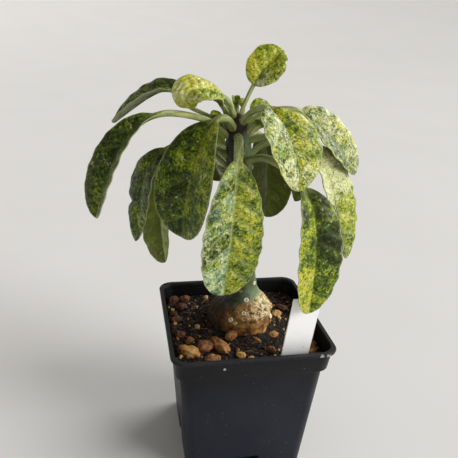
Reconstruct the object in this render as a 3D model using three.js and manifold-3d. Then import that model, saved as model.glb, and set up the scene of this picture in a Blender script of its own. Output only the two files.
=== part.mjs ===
// Potted dorstenia with a swollen stem base: square plastic pot, gritty potting mix, one stem with
// leaf scars, arching variegated leaves and a blank plant label.
// Millimetres, Z up, origin at the centre of the pot's underside, photo's view roughly along +Y.
import * as THREE from 'three';
import { mergeVertices } from 'three/addons/utils/BufferGeometryUtils.js';
import Module from 'manifold-3d';

const wasm = await Module();
wasm.setup();

const GAP = 0.3;

// Pot: height and side length of the rounded square, outside and inside, up to the rim
const POT = {
  cornerRadiusPerSide: 0.09,
  stepsPerCorner: 4,
  outer: [[0, 66.8], [1, 67.9], [73.2, 79.8], [74, 84.2], [84.6, 86.6], [85, 89.4], [86.4, 90], [87, 89.2]],
  inner: [[1.6, 65.2], [73.4, 77.2], [75.2, 81.8], [85.4, 84.4], [87, 85.4], [88, 85.6]],
  wall: 1.3,
  notch: { width: 15, height: 12, depth: 7 },
  slot: { width: 8, length: 60, height: 4, bottom: 4 },
  floorHole: { radius: 3.5, offset: 20, sides: 12 },
};

// Potting mix: its surface and the grains of grit bedded in it
const MIX = {
  bottom: 1.6 + GAP,
  top: 78,
  mound: 4,
  moundReach: 34,
  moundSides: 20,
  seed: 13,
  randomGrains: 74,
  tries: 900,
  grainMin: 1.5,
  grainMax: 3.4,
  grainStretch: 1.25,
  grainFlatness: 0.85,
  grainRoughness: 0.36,
  grainProud: 0.25,
};

// Large grains seen in the photo: place on the surface, half length, half width, turn in degrees
const LARGE_GRAINS = [
  { x: -33.5, y: -21.5, length: 7.0, width: 4.6, turn: -35 },
  { x: -24.5, y: -18.5, length: 5.2, width: 3.8, turn: 20 },
  { x: -15.5, y: -20.5, length: 7.6, width: 3.6, turn: 105 },
  { x: -8.6, y: -19.4, length: 4.6, width: 3.4, turn: 70 },
  { x: -21.5, y: -30.0, length: 4.6, width: 2.9, turn: 5 },
  { x: -5.4, y: -29.4, length: 2.6, width: 2.2, turn: 0 },
  { x: 13.6, y: -20.6, length: 3.4, width: 2.0, turn: 60 },
  { x: 35.5, y: -28.4, length: 2.9, width: 2.3, turn: 15 },
  { x: 22.6, y: -4.0, length: 2.9, width: 2.6, turn: 0 },
  { x: -36.0, y: 33.6, length: 4.0, width: 3.2, turn: 40 },
  { x: -28.0, y: 34.6, length: 3.6, width: 2.8, turn: 0 },
  { x: -36.4, y: 19.0, length: 3.4, width: 2.8, turn: 0 },
];

// Stem: height, radius and centre of each station, from the root in the mix to the apex
const STEM = {
  sides: 14,
  stations: [
    [60, 4.0, 0.0, 4.0], [68, 10.0, 0.0, 4.0], [75, 15.2, 0.0, 4.0], [81, 18.0, 0.2, 4.0],
    [86, 18.6, 0.4, 4.0], [91, 17.4, 0.8, 4.0], [95, 14.2, 1.4, 3.8], [98, 10.8, 2.0, 3.6],
    [101, 7.8, 2.6, 3.4], [105, 6.2, 2.7, 3.2], [112, 5.6, 2.0, 2.6], [130, 5.6, -0.1, 1.0],
    [160, 6.2, -3.8, 0], [178, 6.8, -6.0, 0], [192, 6.6, -7.4, 0], [200, 5.2, -7.9, 0],
    [205, 2.4, -8.3, 0],
  ],
  lump: { height: 0.035, count: 3, twist: 7 },
  scar: { first: 102, last: 196, rise: 2.9, turn: 137.5 },
  scarBump: { radius: 1.9, height: 0.8, flatness: 0.8, keepClear: 4.4 },
};
const CAUDEX_RADIUS = Math.max(...STEM.stations.map(([, radius]) => radius));

// Leaf shape shared by all leaves; a blade's outline is t^base * (1 - t)^tip along its length
const BLADE = {
  halfThickness: 0.4,
  waveLength: 9,
  waveHeight: 0.4,
  scallop: 0.015,
  across: [1, 0.5, 0, -0.5, -1],
  petioleRings: 5,
  petioleRoundness: 0.9,
  spread: 0.1,
  ribDepth: 0.9,
  tipRadius: 0.9,
};

// Each leaf leaves the stem at an azimuth (0 is +X, 90 is +Y); its route is reach from the stem's
// axis and height; swing, roll and fold are degrees; stalk is the petiole's length, stout its radius
const LEAVES = [
  { name: 'leaf_left_long', azimuth: 198, swing: 0, stalk: 47, stout: 1.6, width: 25, base: 0.75, tip: 0.5,
    fold: 24, roll: -10, route: [[3, 190], [10, 197], [18, 202], [33, 206], [42, 206.5], [51.5, 203.5],
      [61, 194], [69, 178.5], [75.5, 159]] },
  { name: 'leaf_left_high', azimuth: 160, swing: 0, stalk: 25, stout: 1.1, width: 25, base: 0.85, tip: 0.45,
    fold: 20, roll: -12, route: [[3, 194], [13, 201], [27, 207], [33, 213], [40, 213.5], [47, 210],
      [55, 204], [66, 195]] },
  { name: 'leaf_yellow', azimuth: 202, swing: 0, stalk: 13, stout: 1.4, width: 23, base: 0.62, tip: 0.6,
    fold: 6, roll: -22, route: [[2, 203], [7, 212], [15, 216], [23, 217.5], [28, 216], [29, 212],
      [26, 209]] },
  { name: 'leaf_left_front', azimuth: 219, swing: -4, stalk: 17, stout: 2.2, width: 39, base: 0.7, tip: 0.45,
    fold: 16, roll: 0, route: [[3, 197], [10, 203], [17, 203], [25, 197], [30, 187], [35, 167],
      [37, 147]] },
  { name: 'leaf_left_low', azimuth: 179, swing: 5, stalk: 36, stout: 1.6, width: 22, base: 0.7, tip: 0.68,
    fold: 8, roll: -24, route: [[3, 182], [18, 188], [36, 187], [46.5, 177], [50, 165], [51.5, 154],
      [54, 138]] },
  { name: 'leaf_back_left', azimuth: 140, swing: 0, stalk: 40, stout: 1.5, width: 28, base: 0.6, tip: 0.5,
    fold: 14, roll: 0, route: [[3, 172], [18, 182], [34, 181], [45, 170], [51, 154], [52, 134],
      [48, 108]] },
  { name: 'leaf_back', azimuth: 108, swing: 0, stalk: 20, stout: 1.5, width: 22, base: 0.6, tip: 0.5,
    fold: 14, roll: 0, route: [[3, 186], [14, 195], [25, 196], [31, 188], [28, 175], [18, 164]] },
  { name: 'leaf_front', azimuth: 259, swing: -6, stalk: 35, stout: 2.2, width: 32, base: 0.6, tip: 0.45,
    fold: 12, roll: -26, route: [[3, 193], [17, 195], [31, 194], [38, 187], [40, 170], [40, 145],
      [39, 122]] },
  { name: 'leaf_back_right', azimuth: 48, swing: 0, stalk: 26, stout: 1.6, width: 30, base: 0.6, tip: 0.5,
    fold: 12, roll: 0, route: [[3, 186], [12, 191], [24, 190], [34, 180], [37, 160], [39, 137]] },
  { name: 'leaf_right_inner', azimuth: 14, swing: 0, stalk: 24, stout: 1.6, width: 19, base: 0.6, tip: 0.5,
    fold: 14, roll: 0, route: [[3, 181], [14, 188], [25, 188], [32, 181], [35.5, 169], [37, 154]] },
  { name: 'leaf_right_front', azimuth: 297, swing: 0, stalk: 22, stout: 1.7, width: 32, base: 0.58, tip: 0.6,
    fold: 8, roll: 0, route: [[3, 201], [12, 208], [22, 211], [31, 207], [40, 198], [46, 186], [47, 177]] },
  { name: 'leaf_right_high', azimuth: 347, swing: 0, stalk: 31, stout: 1.6, width: 28, base: 0.5, tip: 0.5,
    fold: 12, roll: 28, route: [[3, 198], [14, 206], [28, 208], [38, 203], [47, 196], [56, 186],
      [62.5, 177]] },
  { name: 'leaf_right_long', azimuth: 332, swing: 0, stalk: 37, stout: 1.6, width: 29, base: 0.5, tip: 0.6,
    fold: 17, roll: 19, route: [[3, 190.5], [18, 195.5], [32, 195], [43, 186], [50.5, 171], [56.5, 154],
      [62, 135.5]] },
  { name: 'leaf_right_low', azimuth: 306, swing: 0, stalk: 42, stout: 1.9, width: 29, base: 0.6, tip: 0.5,
    fold: 16, roll: 14, route: [[3, 180], [15, 185], [26, 184], [40, 177], [49, 166], [53, 145],
      [53, 112]] },
  { name: 'leaf_top', azimuth: 12, swing: 0, stalk: 17, stout: 1.0, width: 20, base: 0.5, tip: 0.5, fold: 16,
    roll: 50, route: [[1, 203], [4, 211], [8.5, 220], [15.5, 229], [23, 235.5]] },
];

// Young leaves packed round the apex: thick petioles with small folded blades
const YOUNG_LEAVES = [
  { name: 'young_leaf_1', azimuth: 161, swing: 0, stalk: 9, stout: 1.35, width: 6, base: 0.5, tip: 0.5,
    fold: 40, roll: 0, route: [[5, 199.8], [7, 206], [10.5, 210], [14, 211]] },
  { name: 'young_leaf_2', azimuth: 126, swing: 0, stalk: 9, stout: 1.4, width: 6, base: 0.5, tip: 0.5,
    fold: 40, roll: 0, route: [[5, 199], [6.5, 204], [9.5, 208.5], [12.5, 210]] },
  { name: 'young_leaf_3', azimuth: 91, swing: 0, stalk: 8, stout: 1.4, width: 6, base: 0.5, tip: 0.5,
    fold: 40, roll: 0, route: [[5, 199], [6, 205], [8, 209.5], [11, 211.5]] },
  { name: 'young_leaf_4', azimuth: 52, swing: 0, stalk: 7, stout: 1.0, width: 6, base: 0.5, tip: 0.5,
    fold: 40, roll: 0, route: [[4.5, 200], [5, 205], [6, 208.5], [8, 211]] },
  { name: 'young_leaf_5', azimuth: 182, swing: 0, stalk: 9, stout: 1.2, width: 7.6, base: 0.5, tip: 0.5,
    fold: 30, roll: -10, route: [[4, 194.3], [7.5, 200], [11, 203], [15, 203.5]] },
  { name: 'young_leaf_6', azimuth: 22, swing: 0, stalk: 7, stout: 1.2, width: 11, base: 0.5, tip: 0.5,
    fold: 34, roll: 20, route: [[4, 199], [8, 204], [13, 206.5], [20, 207]] },
  { name: 'young_leaf_7', azimuth: 8, swing: 0, stalk: 10, stout: 1.3, width: 8, base: 0.5, tip: 0.5,
    fold: 30, roll: 10, route: [[4, 191], [9, 196.5], [14, 198.5], [20, 197]] },
  { name: 'young_leaf_8', azimuth: 318, swing: 0, stalk: 9, stout: 1.3, width: 8, base: 0.5, tip: 0.5,
    fold: 30, roll: 0, route: [[4, 195], [8, 200], [12, 202], [17, 201]] },
];

// Plant label: blank strip pushed into the mix near the front wall
const LABEL = {
  width: 15.3,
  thickness: 0.9,
  length: 63.5,
  point: 8,
  x: 20,
  y: -34.4,
  bottom: 54,
  lean: 4.8,
  tilt: 3.6,
};

const COLOURS = {
  pot: { color: '#26272a', roughness: 0.5 },
  mix: { color: '#3a2a1d', roughness: 0.95 },
  stem: { color: '#6f6a44', roughness: 0.75 },
  leaf: { color: '#7c8a35', roughness: 0.45 },
  yellowLeaf: { color: '#b3a93a', roughness: 0.45 },
  label: { color: '#eef0f2', roughness: 0.4 },
};

// A repeatable random source
function seededRandom(seed) {
  let state = seed;
  return () => {
    state = (state * 1664525 + 1013904223) % 4294967296;
    return state / 4294967296;
  };
}

function smoothStep(low, high, value) {
  const part = Math.min(1, Math.max(0, (value - low) / (high - low)));
  return part * part * (3 - 2 * part);
}

// Value of a [height, value, ...] table at a height, by straight steps
function readTable(table, height, column) {
  const last = table.length - 1;
  let row = 0;
  while (row < last - 1 && table[row + 1][0] < height) row += 1;
  const [below, above] = [table[row], table[row + 1]];
  const part = Math.min(1, Math.max(0, (height - below[0]) / (above[0] - below[0])));
  return below[column] + (above[column] - below[column]) * part;
}

// Closed body through rings of points that turn anticlockwise round the way of travel. Quads whose
// side number passes the turn-over are split the other way, so a blade's two faces match.
function loft(rings, turnOver = Infinity) {
  const sides = rings[0].length;
  const positions = rings.flat().flatMap((point) => [point.x, point.y, point.z]);
  const indices = [];
  for (let ring = 0; ring < rings.length - 1; ring += 1) {
    for (let side = 0; side < sides; side += 1) {
      const next = (side + 1) % sides;
      const a = ring * sides + side;
      const b = ring * sides + next;
      const aUp = a + sides;
      const bUp = b + sides;
      if (side < turnOver) indices.push(a, b, bUp, a, bUp, aUp);
      else indices.push(a, b, aUp, b, bUp, aUp);
    }
  }
  capRing(positions, indices, rings[0], 0, true);
  capRing(positions, indices, rings[rings.length - 1], (rings.length - 1) * sides, false);
  const geometry = new THREE.BufferGeometry();
  geometry.setAttribute('position', new THREE.Float32BufferAttribute(positions, 3));
  geometry.setIndex(indices);
  return geometry;
}

function capRing(positions, indices, ring, first, facesBack) {
  const centre = ring.reduce((sum, point) => sum.add(point), new THREE.Vector3()).divideScalar(ring.length);
  const middle = positions.length / 3;
  positions.push(centre.x, centre.y, centre.z);
  for (let side = 0; side < ring.length; side += 1) {
    const here = first + side;
    const next = first + ((side + 1) % ring.length);
    if (facesBack) indices.push(middle, next, here);
    else indices.push(middle, here, next);
  }
}

function toSolid(geometry) {
  const bare = geometry.clone();
  bare.deleteAttribute('normal');
  bare.deleteAttribute('uv');
  const merged = mergeVertices(bare, 1e-5);
  return new wasm.Manifold(new wasm.Mesh({
    numProp: 3,
    vertProperties: new Float32Array(merged.attributes.position.array),
    triVerts: new Uint32Array(merged.index.array),
  }));
}

function toGeometry(solid) {
  const mesh = solid.getMesh();
  const geometry = new THREE.BufferGeometry();
  geometry.setAttribute('position', new THREE.Float32BufferAttribute(mesh.vertProperties, 3));
  geometry.setIndex(new THREE.Uint32BufferAttribute(mesh.triVerts, 1));
  geometry.computeVertexNormals();
  return geometry;
}

function boxSolid(width, depth, height, x, y, z) {
  return toSolid(new THREE.BoxGeometry(width, depth, height).translate(x, y, z));
}

function makeMesh(name, solid, look) {
  const material = new THREE.MeshStandardMaterial({ ...look, metalness: 0 });
  const mesh = new THREE.Mesh(toGeometry(solid), material);
  mesh.name = name;
  return mesh;
}

// Rounded square ring at a height, anticlockwise from above
function squareRing(side, height) {
  const radius = side * POT.cornerRadiusPerSide;
  const reach = side / 2 - radius;
  const ring = [];
  for (let corner = 0; corner < 4; corner += 1) {
    const middle = Math.PI / 4 + (corner * Math.PI) / 2;
    const centreX = Math.sign(Math.cos(middle)) * reach;
    const centreY = Math.sign(Math.sin(middle)) * reach;
    for (let step = 0; step <= POT.stepsPerCorner; step += 1) {
      const angle = middle - Math.PI / 4 + (step / POT.stepsPerCorner) * (Math.PI / 2);
      const x = centreX + radius * Math.cos(angle);
      const y = centreY + radius * Math.sin(angle);
      ring.push(new THREE.Vector3(x, y, height));
    }
  }
  return ring;
}

// The drainage notch at the foot of each side, grown by a margin; it starts outside the pot
function notchBoxes(grow) {
  const wallFoot = POT.outer[0][1] / 2;
  const outside = 6;
  const below = 1;
  const width = POT.notch.width + 2 * grow;
  const depth = POT.notch.depth + grow + outside;
  const height = POT.notch.height + grow + below;
  const boxes = [];
  for (let side = 0; side < 4; side += 1) {
    const box = new THREE.BoxGeometry(width, depth, height);
    box.translate(0, depth / 2 - wallFoot - outside, height / 2 - below);
    boxes.push(toSolid(box.rotateZ((side * Math.PI) / 2)));
  }
  return boxes;
}

function joinAll(solids) {
  return solids.reduce((sum, solid) => sum.add(solid));
}

function buildPot() {
  const outer = toSolid(loft(POT.outer.map(([z, side]) => squareRing(side, z))));
  const housing = joinAll(notchBoxes(POT.wall));
  const cavity = toSolid(loft(POT.inner.map(([z, side]) => squareRing(side, z)))).subtract(housing);
  const notches = joinAll(notchBoxes(0));
  const { width, length, height, bottom } = POT.slot;
  const slots = boxSolid(width, length, height, 0, 0, bottom + height / 2)
    .add(boxSolid(length, width, height, 0, 0, bottom + height / 2));
  const { radius, offset, sides } = POT.floorHole;
  const throughFloor = 4 * POT.wall;
  const holes = [];
  for (const [signX, signY] of [[1, 1], [-1, 1], [-1, -1], [1, -1]]) {
    const hole = new THREE.CylinderGeometry(radius, radius, throughFloor, sides);
    holes.push(toSolid(hole.rotateX(Math.PI / 2).translate(signX * offset, signY * offset, 0)));
  }
  return outer.subtract(cavity).subtract(notches).subtract(slots).subtract(joinAll(holes));
}

function stemCentre(height) {
  const [x, y] = [2, 3].map((column) => readTable(STEM.stations, height, column));
  return new THREE.Vector3(x, y, height);
}

// Stem body grown by a margin, with flat lumps on the caudex
function buildStemBody(grow) {
  const last = STEM.stations.length - 1;
  const rings = STEM.stations.map(([height, radius, centreX, centreY], index) => {
    const level = height + (index === last ? grow : 0) - (index === 0 ? grow : 0);
    const ring = [];
    for (let side = 0; side < STEM.sides; side += 1) {
      const angle = (side / STEM.sides) * 2 * Math.PI;
      const lump = 1 + STEM.lump.height * Math.sin(STEM.lump.count * angle + height / STEM.lump.twist);
      const reach = radius * lump + grow;
      const x = centreX + reach * Math.cos(angle);
      ring.push(new THREE.Vector3(x, centreY + reach * Math.sin(angle), level));
    }
    return ring;
  });
  return toSolid(loft(rings));
}

// Raised leaf scars climb the stem in a spiral and keep clear of the leaves that are still on it
function buildScars(leaves) {
  const { first, last, rise, turn } = STEM.scar;
  const { radius, height: bulge, flatness, keepClear } = STEM.scarBump;
  const scars = [];
  for (let index = 0; first + index * rise < last; index += 1) {
    const height = first + index * rise;
    const angle = THREE.MathUtils.degToRad(index * turn);
    const reach = readTable(STEM.stations, height, 1);
    const place = onStem(height, angle, reach);
    const crowded = leaves.some((leaf) => leafFoot(leaf).distanceTo(place) < keepClear + leaf.stout);
    if (crowded) continue;
    const scar = new THREE.SphereGeometry(radius, 7, 3).scale(bulge / radius, 1, flatness);
    scars.push(toSolid(scar.rotateZ(angle).translate(place.x, place.y, place.z)));
  }
  return scars;
}

// Where a leaf's petiole meets the stem's surface
function leafFoot(leaf) {
  const height = leaf.route[0][1] + leaf.stout;
  const radius = readTable(STEM.stations, height, 1);
  const angle = THREE.MathUtils.degToRad(leaf.azimuth);
  return onStem(height, angle, radius);
}

// Point at a reach from the stem's axis, in the direction of an angle
function onStem(height, angle, reach) {
  return stemCentre(height).add(new THREE.Vector3(reach * Math.cos(angle), reach * Math.sin(angle), 0));
}

function leafRoute(leaf) {
  const last = leaf.route.length - 1;
  const centre = stemCentre(leaf.route[0][1]);
  const points = leaf.route.map(([reach, height], index) => {
    const angle = THREE.MathUtils.degToRad(leaf.azimuth + leaf.swing * (index / last) ** 3);
    return new THREE.Vector3(centre.x + reach * Math.cos(angle), centre.y + reach * Math.sin(angle), height);
  });
  return new THREE.CatmullRomCurve3(points, false, 'centripetal');
}

// One leaf: a round petiole that widens into a folded blade with a waved, scalloped edge
function buildLeaf(leaf) {
  const curve = leafRoute(leaf);
  const total = curve.getLength();
  const bladeLength = total - leaf.stalk;
  const waves = Math.max(2, Math.round(bladeLength / BLADE.waveLength));
  const bladeRings = waves * 2;
  const rings = [];
  for (let ring = 0; ring < BLADE.petioleRings; ring += 1) {
    rings.push(leafRing(leaf, curve, (ring / BLADE.petioleRings) * leaf.stalk, total, waves));
  }
  for (let ring = 0; ring <= bladeRings; ring += 1) {
    rings.push(leafRing(leaf, curve, leaf.stalk + (ring / bladeRings) * bladeLength, total, waves));
  }
  return toSolid(loft(rings, BLADE.across.length));
}

function bladeOutline(part, base, tip) {
  const widest = base / (base + tip);
  return (part ** base * (1 - part) ** tip) / (widest ** base * (1 - widest) ** tip);
}

function leafRing(leaf, curve, distance, total, waves) {
  const place = curve.getPointAt(distance / total);
  const along = curve.getTangentAt(distance / total);
  const azimuth = THREE.MathUtils.degToRad(leaf.azimuth + leaf.swing * (distance / total) ** 3);
  const sideways = new THREE.Vector3(-Math.sin(azimuth), Math.cos(azimuth), 0);
  sideways.addScaledVector(along, -sideways.dot(along)).normalize();
  sideways.applyAxisAngle(along, THREE.MathUtils.degToRad(leaf.roll));
  const upward = new THREE.Vector3().crossVectors(along, sideways);

  const bladePart = (distance - leaf.stalk) / (total - leaf.stalk);
  const part = Math.min(1, Math.max(0, bladePart));
  const flatness = smoothStep(-BLADE.spread, BLADE.spread, bladePart);
  const wave = Math.cos(2 * Math.PI * waves * part);
  const outline = (leaf.width / 2) * bladeOutline(part, leaf.base, leaf.tip) * (1 + BLADE.scallop * wave);
  const halfWidth = Math.max(part < 1 ? leaf.stout : BLADE.tipRadius, outline);
  const fold = THREE.MathUtils.degToRad(leaf.fold) * flatness;
  const waveHeight = BLADE.waveHeight * Math.min(1, leaf.width / 20) * flatness * Math.sin(Math.PI * part);
  const rib = BLADE.ribDepth * (1 - part);

  const top = [];
  const bottom = [];
  for (const across of BLADE.across) {
    const reach = Math.abs(across) * halfWidth;
    const ruffle = waveHeight * across * across * Math.sign(across + 0.1) * wave;
    const middle = place.clone()
      .addScaledVector(sideways, Math.sign(across) * reach * Math.cos(fold))
      .addScaledVector(upward, reach * Math.sin(fold) + ruffle);
    const round = leaf.stout * Math.sqrt(1 - BLADE.petioleRoundness * across * across);
    const flatBottom = BLADE.halfThickness + (across === 0 ? rib : 0);
    const above = THREE.MathUtils.lerp(round, BLADE.halfThickness, flatness);
    const below = THREE.MathUtils.lerp(round, flatBottom, flatness);
    top.push(middle.clone().addScaledVector(upward, above));
    bottom.unshift(middle.clone().addScaledVector(upward, -below));
  }
  return [...top, ...bottom];
}

// The mix rises in a low cone to the caudex
function surfaceHeight(x, y) {
  const centre = stemCentre(MIX.top);
  const distance = Math.hypot(x - centre.x, y - centre.y);
  const part = (MIX.moundReach - distance) / (MIX.moundReach - CAUDEX_RADIUS);
  return MIX.top + MIX.mound * Math.min(1, Math.max(0, part));
}

// A rough grain of grit, bedded in the surface
function buildGrain(random, x, y, length, width, turn) {
  const grain = new THREE.IcosahedronGeometry(1, 0);
  grain.deleteAttribute('normal');
  grain.deleteAttribute('uv');
  const merged = mergeVertices(grain, 1e-4);
  const place = merged.attributes.position;
  for (let index = 0; index < place.count; index += 1) {
    const swell = 1 + MIX.grainRoughness * (random() - 0.5);
    place.setXYZ(index, place.getX(index) * swell, place.getY(index) * swell, place.getZ(index) * swell);
  }
  merged.rotateZ(random() * 2 * Math.PI).rotateX(random() * 2 * Math.PI);
  merged.scale(length, width, width * MIX.grainFlatness);
  merged.rotateZ(THREE.MathUtils.degToRad(turn));
  return toSolid(merged.translate(x, y, surfaceHeight(x, y) + width * MIX.grainProud));
}

function buildGrains() {
  const random = seededRandom(MIX.seed);
  const grains = [...LARGE_GRAINS];
  const wanted = LARGE_GRAINS.length + MIX.randomGrains;
  const reach = readTable(POT.inner, MIX.top, 1) / 2 - MIX.grainMax;
  const centre = stemCentre(MIX.top);
  for (let tries = 0; tries < MIX.tries && grains.length < wanted; tries += 1) {
    const x = (2 * random() - 1) * reach;
    const y = (2 * random() - 1) * reach;
    const width = MIX.grainMin + (MIX.grainMax - MIX.grainMin) * random() ** 2;
    const clear = grains.every((other) => Math.hypot(other.x - x, other.y - y) > width + other.width);
    const turn = 360 * random();
    const outside = Math.hypot(x - centre.x, y - centre.y) > CAUDEX_RADIUS;
    if (clear && outside) grains.push({ x, y, length: width * MIX.grainStretch, width, turn });
  }
  return grains.map(({ x, y, length, width, turn }) => buildGrain(random, x, y, length, width, turn));
}

function labelSolid(grow) {
  const { width, thickness, length, point } = LABEL;
  const outline = new THREE.Shape([
    new THREE.Vector2(0, -grow),
    new THREE.Vector2(width / 2 + grow, point - grow),
    new THREE.Vector2(width / 2 + grow, length + grow),
    new THREE.Vector2(-width / 2 - grow, length + grow),
    new THREE.Vector2(-width / 2 - grow, point - grow),
  ]);
  const strip = new THREE.ExtrudeGeometry(outline, { depth: thickness + 2 * grow, bevelEnabled: false });
  strip.translate(0, 0, -thickness / 2 - grow).rotateX(Math.PI / 2);
  strip.rotateX(THREE.MathUtils.degToRad(LABEL.tilt));
  strip.rotateY(THREE.MathUtils.degToRad(LABEL.lean)).translate(LABEL.x, LABEL.y, LABEL.bottom);
  return toSolid(strip);
}

// Potting mix fills the pot up to its surface, with plain holes for the stem and the label
function buildMix(stemRoom) {
  const room = toSolid(loft(POT.inner.map(([z, side]) => squareRing(side - 2 * GAP, z))));
  const wide = 2 * POT.outer[0][1];
  const slab = boxSolid(wide, wide, MIX.top - MIX.bottom, 0, 0, (MIX.top + MIX.bottom) / 2);
  const centre = stemCentre(MIX.top);
  const cone = new THREE.CylinderGeometry(CAUDEX_RADIUS, MIX.moundReach, MIX.mound, MIX.moundSides);
  const sunk = 0.01;
  cone.rotateX(Math.PI / 2).translate(centre.x, centre.y, MIX.top + MIX.mound / 2 - sunk);
  const rough = slab.add(toSolid(cone)).add(joinAll(buildGrains()));
  const housings = joinAll(notchBoxes(POT.wall + GAP));
  return rough.intersect(room).subtract(housings).subtract(stemRoom).subtract(labelSolid(GAP));
}

function buildPlant() {
  const plant = new THREE.Group();
  const allLeaves = [...LEAVES, ...YOUNG_LEAVES];
  const stemRoom = buildStemBody(GAP);
  const pot = makeMesh('pot', buildPot(), COLOURS.pot);
  const mix = makeMesh('potting_mix', buildMix(stemRoom), COLOURS.mix);
  const stem = makeMesh('caudex_stem', joinAll([buildStemBody(0), ...buildScars(allLeaves)]), COLOURS.stem);
  const label = makeMesh('plant_label', labelSolid(0), COLOURS.label);
  plant.add(pot, mix, stem, label);
  for (const leaf of allLeaves) {
    const look = leaf.name === 'leaf_yellow' ? COLOURS.yellowLeaf : COLOURS.leaf;
    plant.add(makeMesh(leaf.name, buildLeaf(leaf).subtract(stemRoom), look));
  }
  return plant;
}

export default buildPlant();
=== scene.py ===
"""Looks of a potted variegated dorstenia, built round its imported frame.

Sizes are in millimetres, as a grower's notes would give them, and become metres
when a mesh is made. Angles are in degrees, with 0 along +X and 90 along +Y.
"""

import logging
import math
from dataclasses import dataclass
from enum import Enum
from typing import ClassVar

import bmesh
import bpy
import numpy as np
from mathutils import Matrix, Vector, noise


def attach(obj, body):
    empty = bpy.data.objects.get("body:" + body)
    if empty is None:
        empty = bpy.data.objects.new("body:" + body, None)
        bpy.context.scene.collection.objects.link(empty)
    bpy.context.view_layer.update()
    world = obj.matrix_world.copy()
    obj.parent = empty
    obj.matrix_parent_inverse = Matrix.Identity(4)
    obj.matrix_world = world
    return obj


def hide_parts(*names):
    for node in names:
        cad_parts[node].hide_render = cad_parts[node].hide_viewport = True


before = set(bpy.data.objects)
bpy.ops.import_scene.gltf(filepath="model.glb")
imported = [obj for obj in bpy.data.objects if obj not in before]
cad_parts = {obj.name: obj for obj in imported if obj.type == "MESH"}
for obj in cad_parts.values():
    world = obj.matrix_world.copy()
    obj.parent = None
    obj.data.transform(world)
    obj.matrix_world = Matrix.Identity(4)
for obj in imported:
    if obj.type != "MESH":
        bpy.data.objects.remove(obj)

LOG = logging.getLogger("dorstenia")
MM = 0.001
BODY = "root"

# Socket numbers of the Mix node when it mixes colours, and of Random Value
MIX_FACTOR, MIX_A, MIX_B, MIX_COLOUR = 0, 6, 7, 2
RANDOM_FLOAT_MIN, RANDOM_FLOAT_MAX, RANDOM_FLOAT = 2, 3, 1

# Settings that many nodes share
SMOOTH = {"interpolation_type": "SMOOTHSTEP"}
COLOUR_MIX = {"data_type": "RGBA"}
MULTIPLY_ADD = {"operation": "MULTIPLY_ADD"}

Tree, Node, Socket = bpy.types.NodeTree, bpy.types.Node, bpy.types.NodeSocket
Object, Material = bpy.types.Object, bpy.types.Material
Colour = tuple[float, float, float, float]


def to_linear(code: str) -> Colour:
    """Turns an sRGB hex code into a linear colour.

    Args:
        code: colour such as "#7c8a35".

    Returns:
        Linear red, green, blue and an alpha of 1.
    """
    parts = [int(code[place : place + 2], 16) / 255 for place in (1, 3, 5)]
    linear = [part / 12.92 if part <= 0.04045 else ((part + 0.055) / 1.055) ** 2.4 for part in parts]
    return (linear[0], linear[1], linear[2], 1.0)


def set_inputs(tree: Tree, node: Node, inputs: dict) -> None:
    """Gives a node's inputs their values and links.

    Args:
        tree: node tree that holds the node.
        node: the node.
        inputs: for each input, by name or number, a value, the socket that feeds it, or
            the node whose first output does.
    """
    for key, value in inputs.items():
        if isinstance(value, Node):
            value = value.outputs[0]
        if isinstance(value, Socket):
            tree.links.new(value, node.inputs[key])
        else:
            node.inputs[key].default_value = value


def add_node(tree: Tree, kind: str, settings: dict | None = None,
             inputs: dict | None = None) -> Node:
    """Adds a node with its settings, input values and links.

    Args:
        tree: node tree that takes the node.
        kind: Blender's name for the type of node.
        settings: value for each of the node's own settings.
        inputs: its inputs, as set_inputs takes them.

    Returns:
        The new node.
    """
    node = tree.nodes.new(kind)
    for name, value in (settings or {}).items():
        setattr(node, name, value)
    set_inputs(tree, node, inputs or {})
    return node


def set_stops(ramp: Node, stops: list[tuple[float, str]]) -> None:
    """Gives a Color Ramp node its stops.

    Args:
        ramp: the Color Ramp node.
        stops: position and hex colour of each stop, in order.
    """
    elements = ramp.color_ramp.elements
    while len(elements) < len(stops):
        elements.new(1.0)
    for element, (position, code) in zip(elements, stops):
        element.position = position
        element.color = to_linear(code)


def new_material(name: str) -> tuple[Material, Tree, Node]:
    """Makes a material with a shader on its output.

    Args:
        name: what the real material is.

    Returns:
        The material, its node tree and its Principled shader.
    """
    material = bpy.data.materials.new(name)
    material.use_nodes = True
    tree = material.node_tree
    tree.nodes.clear()
    shader = add_node(tree, "ShaderNodeBsdfPrincipled")
    add_node(tree, "ShaderNodeOutputMaterial", inputs={"Surface": shader.outputs["BSDF"]})
    return material, tree, shader


def smooth_step(low: float, high: float, value: np.ndarray) -> np.ndarray:
    """Rises smoothly from 0 at low to 1 at high."""
    part = np.clip((np.asarray(value, float) - low) / (high - low), 0, 1)
    return part * part * (3 - 2 * part)


def new_object(name: str, data: bpy.types.ID) -> Object:
    """Makes an object for a mesh, a lamp or a camera.

    Args:
        name: the object's name.
        data: what it holds.

    Returns:
        The object, linked to the scene.
    """
    holder = bpy.data.objects.new(name, data)
    bpy.context.scene.collection.objects.link(holder)
    return holder


def new_piece(name: str, points: np.ndarray, faces: list,
              material: Material) -> Object:
    """Makes a smooth shaded piece from points in millimetres.

    Args:
        name: the piece's name.
        points: one row of x, y and z for each vertex.
        faces: vertex numbers of each face.
        material: the piece's finish.

    Returns:
        The new object, linked to the scene, at the origin.
    """
    mesh = bpy.data.meshes.new(name)
    mesh.from_pydata((points * MM).tolist(), [], faces)
    mesh.polygons.foreach_set("use_smooth", [True] * len(mesh.polygons))
    mesh.materials.append(material)
    mesh.update()
    return new_object(name, mesh)


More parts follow.
